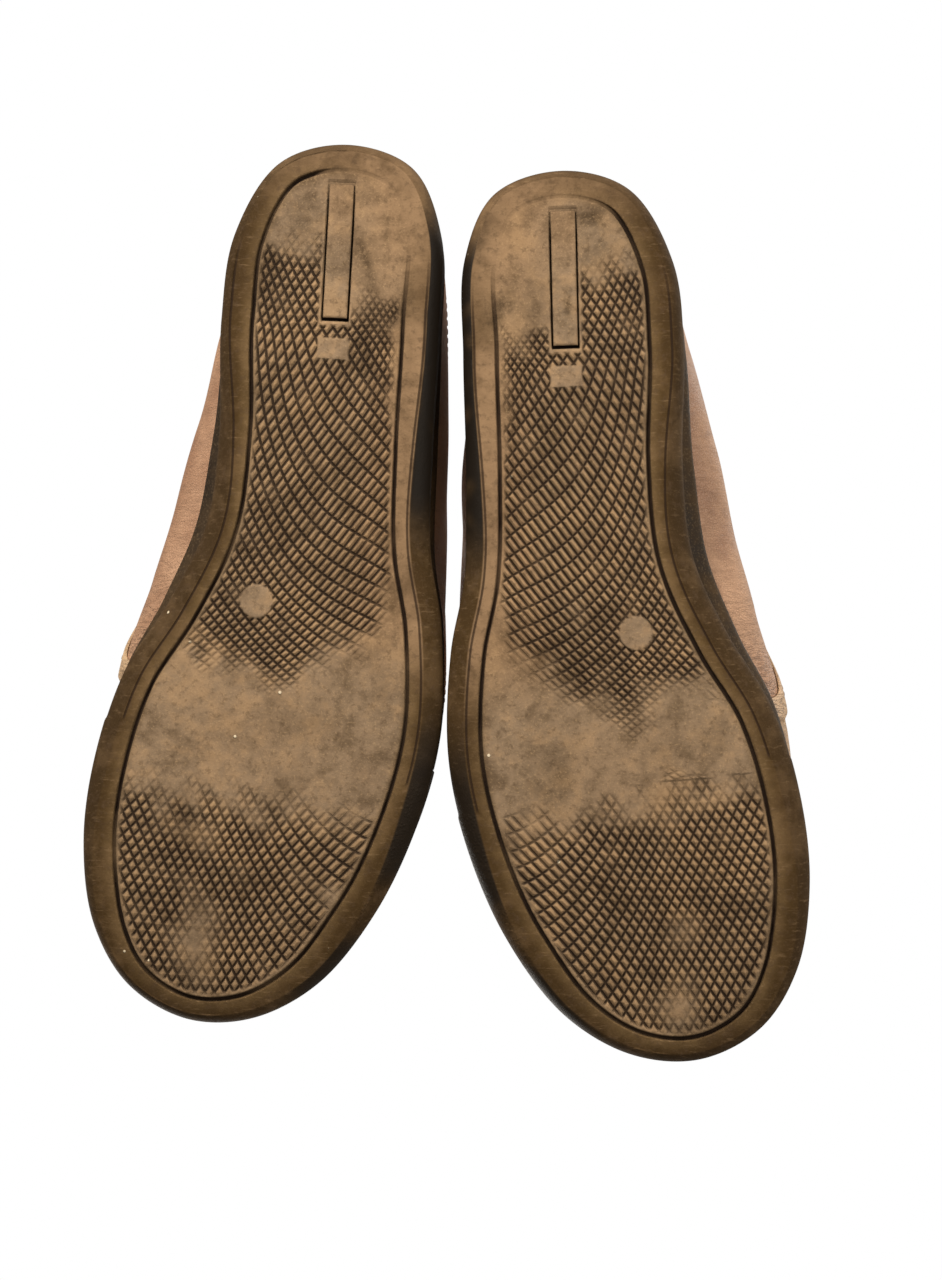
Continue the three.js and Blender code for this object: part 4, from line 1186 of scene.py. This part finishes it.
def makeSock(side):
    # Two ladders a thickness apart. The rim reaches for the lining where the upper bulges, within a few
    # millimetres; heel and ball have pressed soft hollows into the top, and its edge is rolled down.
    def surface(t, lift):
        return soleTop(t) + sock["under"] + sock["pad"] * (1 - smooth(t, sock["padFrom"], sock["padTo"])) + lift

    count = sock["stations"]
    edge = soleEdge(count)
    inward = inwardOf(edge)
    columns = skinGrid[np.arange(count) * skinCount // count]
    shares = np.linspace(0, 1, skinRows)
    share = np.array([np.interp(z, column[:, 2], shares) for z, column in zip(surface(-edge[:, 1], 1.0), columns)])
    lining = onSkin(np.arange(count) * stationCount / count, share, -0.4)[:, :2]
    wanted = np.einsum("ij,ij->i", lining - edge, inward)
    reach = np.clip(wanted, upper["inset"] - 3.5, upper["inset"] + 1.4)
    loop = np.concatenate([edge + inward * reach[:, None], np.zeros((count, 1))], axis=1)
    top, topFaces, ring = ladder(loop, sock["columns"])
    bottom, bottomFaces, bottomRing = ladder(loop, sock["columns"], len(top))
    w, t = top[:, 0], -top[:, 1]
    top[:, 2] = surface(t, sock["thickness"])
    bottom[:, 2] = surface(-bottom[:, 1], 0.0)
    pressed = 0.5 * spot(w, t, -3, 38, 17, 22) + 0.45 * spot(w, t, -2, 178, 26, 20)
    rolled = 0.5 * smooth(insetOf(w, t) - upper["inset"] - 1, 1.2, 0.0)
    top[:, 2] -= pressed + rolled - 0.08 * field(w, t, 21, 4)
    faces = np.concatenate([topFaces[:, ::-1], bottomFaces, quadStrip(ring, bottomRing)])
    points = np.concatenate([top, bottom])
    addPiece("sock_leather", side, "sock_lining", "lining", points, faces, {}, 60)


stitch = {
    "length": 2.1, "pitch": 2.9, "radius": 0.2, "sides": 6, "fromEdge": 3.7,
    "fromSeam": 0.16, "fromStripEdge": 0.09,  # stations
    "onVamp": 1.16, "onStrip": 0.93, "onBinding": 0.85,  # over the face below, mm
}


def join(parts):
    # Several meshes as one: faces count on from the points before them.
    firsts = np.cumsum([0] + [len(points) for points, faces in parts[:-1]])
    faces = [faces + first for first, (points, faces) in zip(firsts, parts)]
    return np.concatenate([points for points, _ in parts]), np.concatenate(faces)


def stitchRow(line):
    # Short threads along a line: round tubes whose radius falls off with the fourth power towards both ends, so
    # that each one dips into the leather.
    length = alongLine(line)
    count = max(1, int(length[-1] / stitch["pitch"]))
    starts = (np.arange(count) + 0.15) * length[-1] / count
    rows = np.linspace(0, 1, 7)
    at = starts[:, None] + rows[None, :] * stitch["length"]
    centre = np.stack([np.interp(at, length, line[:, k]) for k in range(3)], axis=-1)
    ahead = centre[:, -1:] - centre[:, :1]
    ahead = ahead / lengthsOf(ahead)
    level = np.cross(ahead, [0, 0, 1.0])
    level /= np.maximum(lengthsOf(level), 1e-6)
    other = np.cross(ahead, level)
    turn = (np.arange(stitch["sides"]) * 2 * math.pi / stitch["sides"])[None, :, None]
    thick = stitch["radius"] * np.sqrt(np.clip(1 - (2 * rows - 1) ** 4, 0.02, 1))
    ring = np.cos(turn) * level[:, :, None, :] + np.sin(turn) * other[:, :, None, :]
    return join([hoop(tube, False) for tube in centre[:, :, None, :] + ring * thick[None, :, None, None]])


def makeStitches(side):
    # Rows up both side seams, both edges of the heel strip, and round under the binding's edge.
    rows = []
    rise = np.linspace(0.34, 0.9, 160)
    inFromEnd = seams["lap"] - stitch["fromSeam"]
    for station in (seams["outer"] - inFromEnd, seams["inner"] + inFromEnd):
        s = station + 0 * rise
        rows.append(stitchRow(onSkin(s, rise, vampFace(s, rise, side) + stitch["onVamp"])))
    rise = np.linspace(0.2, 0.85, 160)
    for station in (strip["from"] + stitch["fromStripEdge"], strip["to"] - stitch["fromStripEdge"]):
        s = station + 0 * rise
        rows.append(stitchRow(onSkin(s, rise, stripFace(s, rise, side) + stitch["onStrip"])))
    s = np.linspace(0, stationCount, 900, endpoint=False)
    line = onSkin(s, 1 - stitch["fromEdge"] / skinHeight(s), bindingOut + stitch["onBinding"])
    rows.append(stitchRow(np.concatenate([line, line[:1]])))
    points, faces = join(rows)
    piece = makeMesh(side + "_stitching", points, faces, side, {}, 180)
    piece.data.materials.append(looks["thread"])


bow = {
    "down": 12.0, "reach": 13.0, "width": 4.6, "neck": 1.5, "rise": 1.9, "tail": 13.5, "thickness": 0.7,
    "knot": (2.7, 3.3, 2.1), "turn": {"right": 0.5, "left": -0.3},
}


def onVamp(u, v, h):
    # A point of the bow: u mm across, v mm up towards the topline and h mm above the leather.
    wide = np.linalg.norm(onSkin(20.5, 0.9, 0.0) - onSkin(19.5, 0.9, 0.0))
    share = 1 - (bow["down"] - v) / skinHeight(20.0)
    return onSkin(20 + u / wide, share, leatherFace(share) + upper["leather"] + 0.15 + h)


def flatTape(u, v, h, half):
    # A flat tape along a path in u and h: a flattened oval section, half wide at each step.
    step = np.stack([np.gradient(u), np.gradient(h)], axis=1)
    step /= np.maximum(lengthsOf(step), 1e-6)
    turn = np.linspace(0, 2 * math.pi, 20, endpoint=False)
    wide = np.sign(np.cos(turn)) * np.abs(np.cos(turn)) ** 0.35
    deep = np.sin(turn) * bow["thickness"] / 2
    uu = u[:, None] - step[:, 1:] * deep
    hh = h[:, None] + step[:, :1] * deep
    vv = v[:, None] + half[:, None] * wide
    return hoop(onVamp(uu, vv, np.maximum(hh, 0.02)), False)


def bowLoop(sign, turn):
    # Out by a root-like sine and back under itself: the height is a cosine of the same angle.
    angle = np.linspace(0, 1, 60) * math.pi
    out = np.sin(angle) ** 0.8
    u = sign * (bow["neck"] + bow["reach"] * out)
    h = bow["rise"] + 0.5 + bow["rise"] * np.cos(angle) * (0.55 + 0.45 * out)
    v = 0.6 * out * sign * turn + 1.2 * out
    half = bow["neck"] + (bow["width"] - bow["neck"]) * np.sin(np.clip(angle, 0, math.pi)) ** 0.9
    return flatTape(u, v, h, half)


def bowTail(sign):
    # A wavy tail that runs down from the knot and lies flat on the vamp, cut at a slant.
    run = np.linspace(0, 1, 50)[:, None]
    over = np.linspace(-1, 1, 9)[None, :]
    width = 1.3 + 0.9 * np.minimum(run * 3, 1)
    u = sign * (0.6 + 6.0 * run**1.2 + 0.5 * np.sin(run * 5)) + width * over
    v = -1.0 - bow["tail"] * run - 1.6 * run**6 * over * sign
    h = 1.6 * (1 - run) ** 2 + 0.5 + 0.35 * np.sin(run * 6.0 + sign) + 0.12 * (1 - over**2)
    top = onVamp(u, v, h + 0.35)
    under = onVamp(u, v, np.maximum(h - 0.25, 0.02))
    return hoop(np.concatenate([top, under[:, ::-1]], axis=1), False)


def bowKnot():
    # A barrel across the bow with three soft pleats and a slightly five-sided section.
    across, along, high = bow["knot"]
    turn = np.linspace(0, 2 * math.pi, 40, endpoint=False)[None, :]
    rows = np.linspace(-1, 1, 26)[:, None]
    body = np.sqrt(np.clip(1 - np.abs(rows) ** 4, 0.03, 1)) * (1 - 0.06 * np.cos(rows * 9))
    h = 2.4 + high * body * np.sin(turn) * (1 + 0.07 * np.cos(turn * 5))
    return hoop(onVamp(across * body * np.cos(turn), along * rows + 0 * turn, h), False)


def makeBow(side):
    # Two loops, two tails and the knot over them.
    pieces = {}
    for sign, name in ((-1, "lateral"), (1, "medial")):
        pieces["bow_loop_" + name] = bowLoop(sign, bow["turn"][side])
        pieces["bow_tail_" + name] = bowTail(sign)
    pieces["bow_knot"] = bowKnot()
    for name, (points, faces) in pieces.items():
        fields = {"flex": 0.3, "low": 0}
        addPiece(name + "_tape", side, name, "binding", points, faces, fields, 60)


for side in sides:
    makeStitches(side)
    makeBow(side)
    bandPiece("foxing_strip", side, "foxing_band", "band", foxing, 0.0)
    bandPiece("toe_rand", side, "toe_bumper", "bumper", bumper, 1.0)
    makeBinding(side)
    makeSock(side)
print("bands, binding and sock made")

# These pieces of the CAD keep their shape and get their own finish.
finish = {
    "bottom_filler": "foam", "shank": "steel", "insole_board": "board", "heel_pad": "foam", "drawstring": "thread",
}
for name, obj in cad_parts.items():
    for ending, look in finish.items():
        if name.endswith(ending):
            obj.data.materials.clear()
            obj.data.materials.append(looks[look])

# A pale floor that fades out round the slippers and is clear from below, so the soles can be seen.
floorLook = {"reach": 3.0, "drop": 0.0004, "fadeFrom": 0.25, "fadeTo": 0.6}
reach, drop = floorLook["reach"], floorLook["drop"]
floorMesh = bpy.data.meshes.new("floor")
corners = [(-reach, -reach, -drop), (reach, -reach, -drop), (reach, reach, -drop), (-reach, reach, -drop)]
floorMesh.from_pydata(corners, [], [(0, 1, 2, 3)])
floor = bpy.data.objects.new("floor", floorMesh)
bpy.context.collection.objects.link(floor)
floorMaterial, g, shader = newMaterial("paleFloor", 0.9)
shader.inputs["Base Color"].default_value = colour(231, 231, 231)
clear = g.node("ShaderNodeBsdfTransparent")
under = g.node("ShaderNodeNewGeometry").outputs["Backfacing"]
away = g.node("ShaderNodeVectorMath", {0: g.place()}, operation="LENGTH").outputs["Value"]
unseen = g.math("MAXIMUM", under, g.step(away, floorLook["fadeFrom"], floorLook["fadeTo"]))
blend = g.node("ShaderNodeMixShader", {0: unseen, 1: shader.outputs[0], 2: clear.outputs[0]})
g.put(floorMaterial.node_tree.nodes["Material Output"].inputs[0], blend.outputs[0])
floorMesh.materials.append(floorMaterial)
floor.visible_shadow = False
floor.visible_diffuse = False
floor.visible_glossy = False
floor.visible_transmission = False
floor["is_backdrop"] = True

# Soft light all round, white where the camera sees past the slippers.
warm = (1, 0.96, 0.9)
surround = 0.34
world = bpy.data.worlds.new("world")
bpy.context.scene.world = world
world.use_nodes = True
g = Graph(world.node_tree)
seen = g.node("ShaderNodeBackground", {"Color": (1, 1, 1, 1), "Strength": 1.0})
lit = world.node_tree.nodes["Background"]
lit.inputs["Color"].default_value = (*warm, 1)
lit.inputs["Strength"].default_value = surround
isCamera = g.node("ShaderNodeLightPath").outputs["Is Camera Ray"]
mixed = g.node("ShaderNodeMixShader", {0: isCamera, 1: lit.outputs[0], 2: seen.outputs[0]})
g.put(world.node_tree.nodes["World Output"].inputs[0], mixed.outputs[0])

lamps = {  # place, size in metres, watts
    "keyBelow": ((0.38, 0.72, -0.5), 0.22, 12.3),
    "fillBelow": ((-0.75, 0.2, -0.5), 0.5, 5.5),
    "keyAbove": ((0.6, -0.7, 1.0), 0.6, 14.0),
    "fillAbove": ((-0.8, 0.5, 0.8), 0.8, 7.0),
}
for name, (location, size, power) in lamps.items():
    data = bpy.data.lights.new(name, "AREA")
    data.shape = "SQUARE"
    data.size = size
    data.energy = power
    data.color = warm
    lamp = bpy.data.objects.new(name, data)
    lamp.location = location
    lamp.rotation_euler = (-Vector(location)).to_track_quat("-Z", "Y").to_euler()
    bpy.context.collection.objects.link(lamp)
bpy.context.scene.view_settings.view_transform = "Standard"
print("studio made")

low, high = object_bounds()
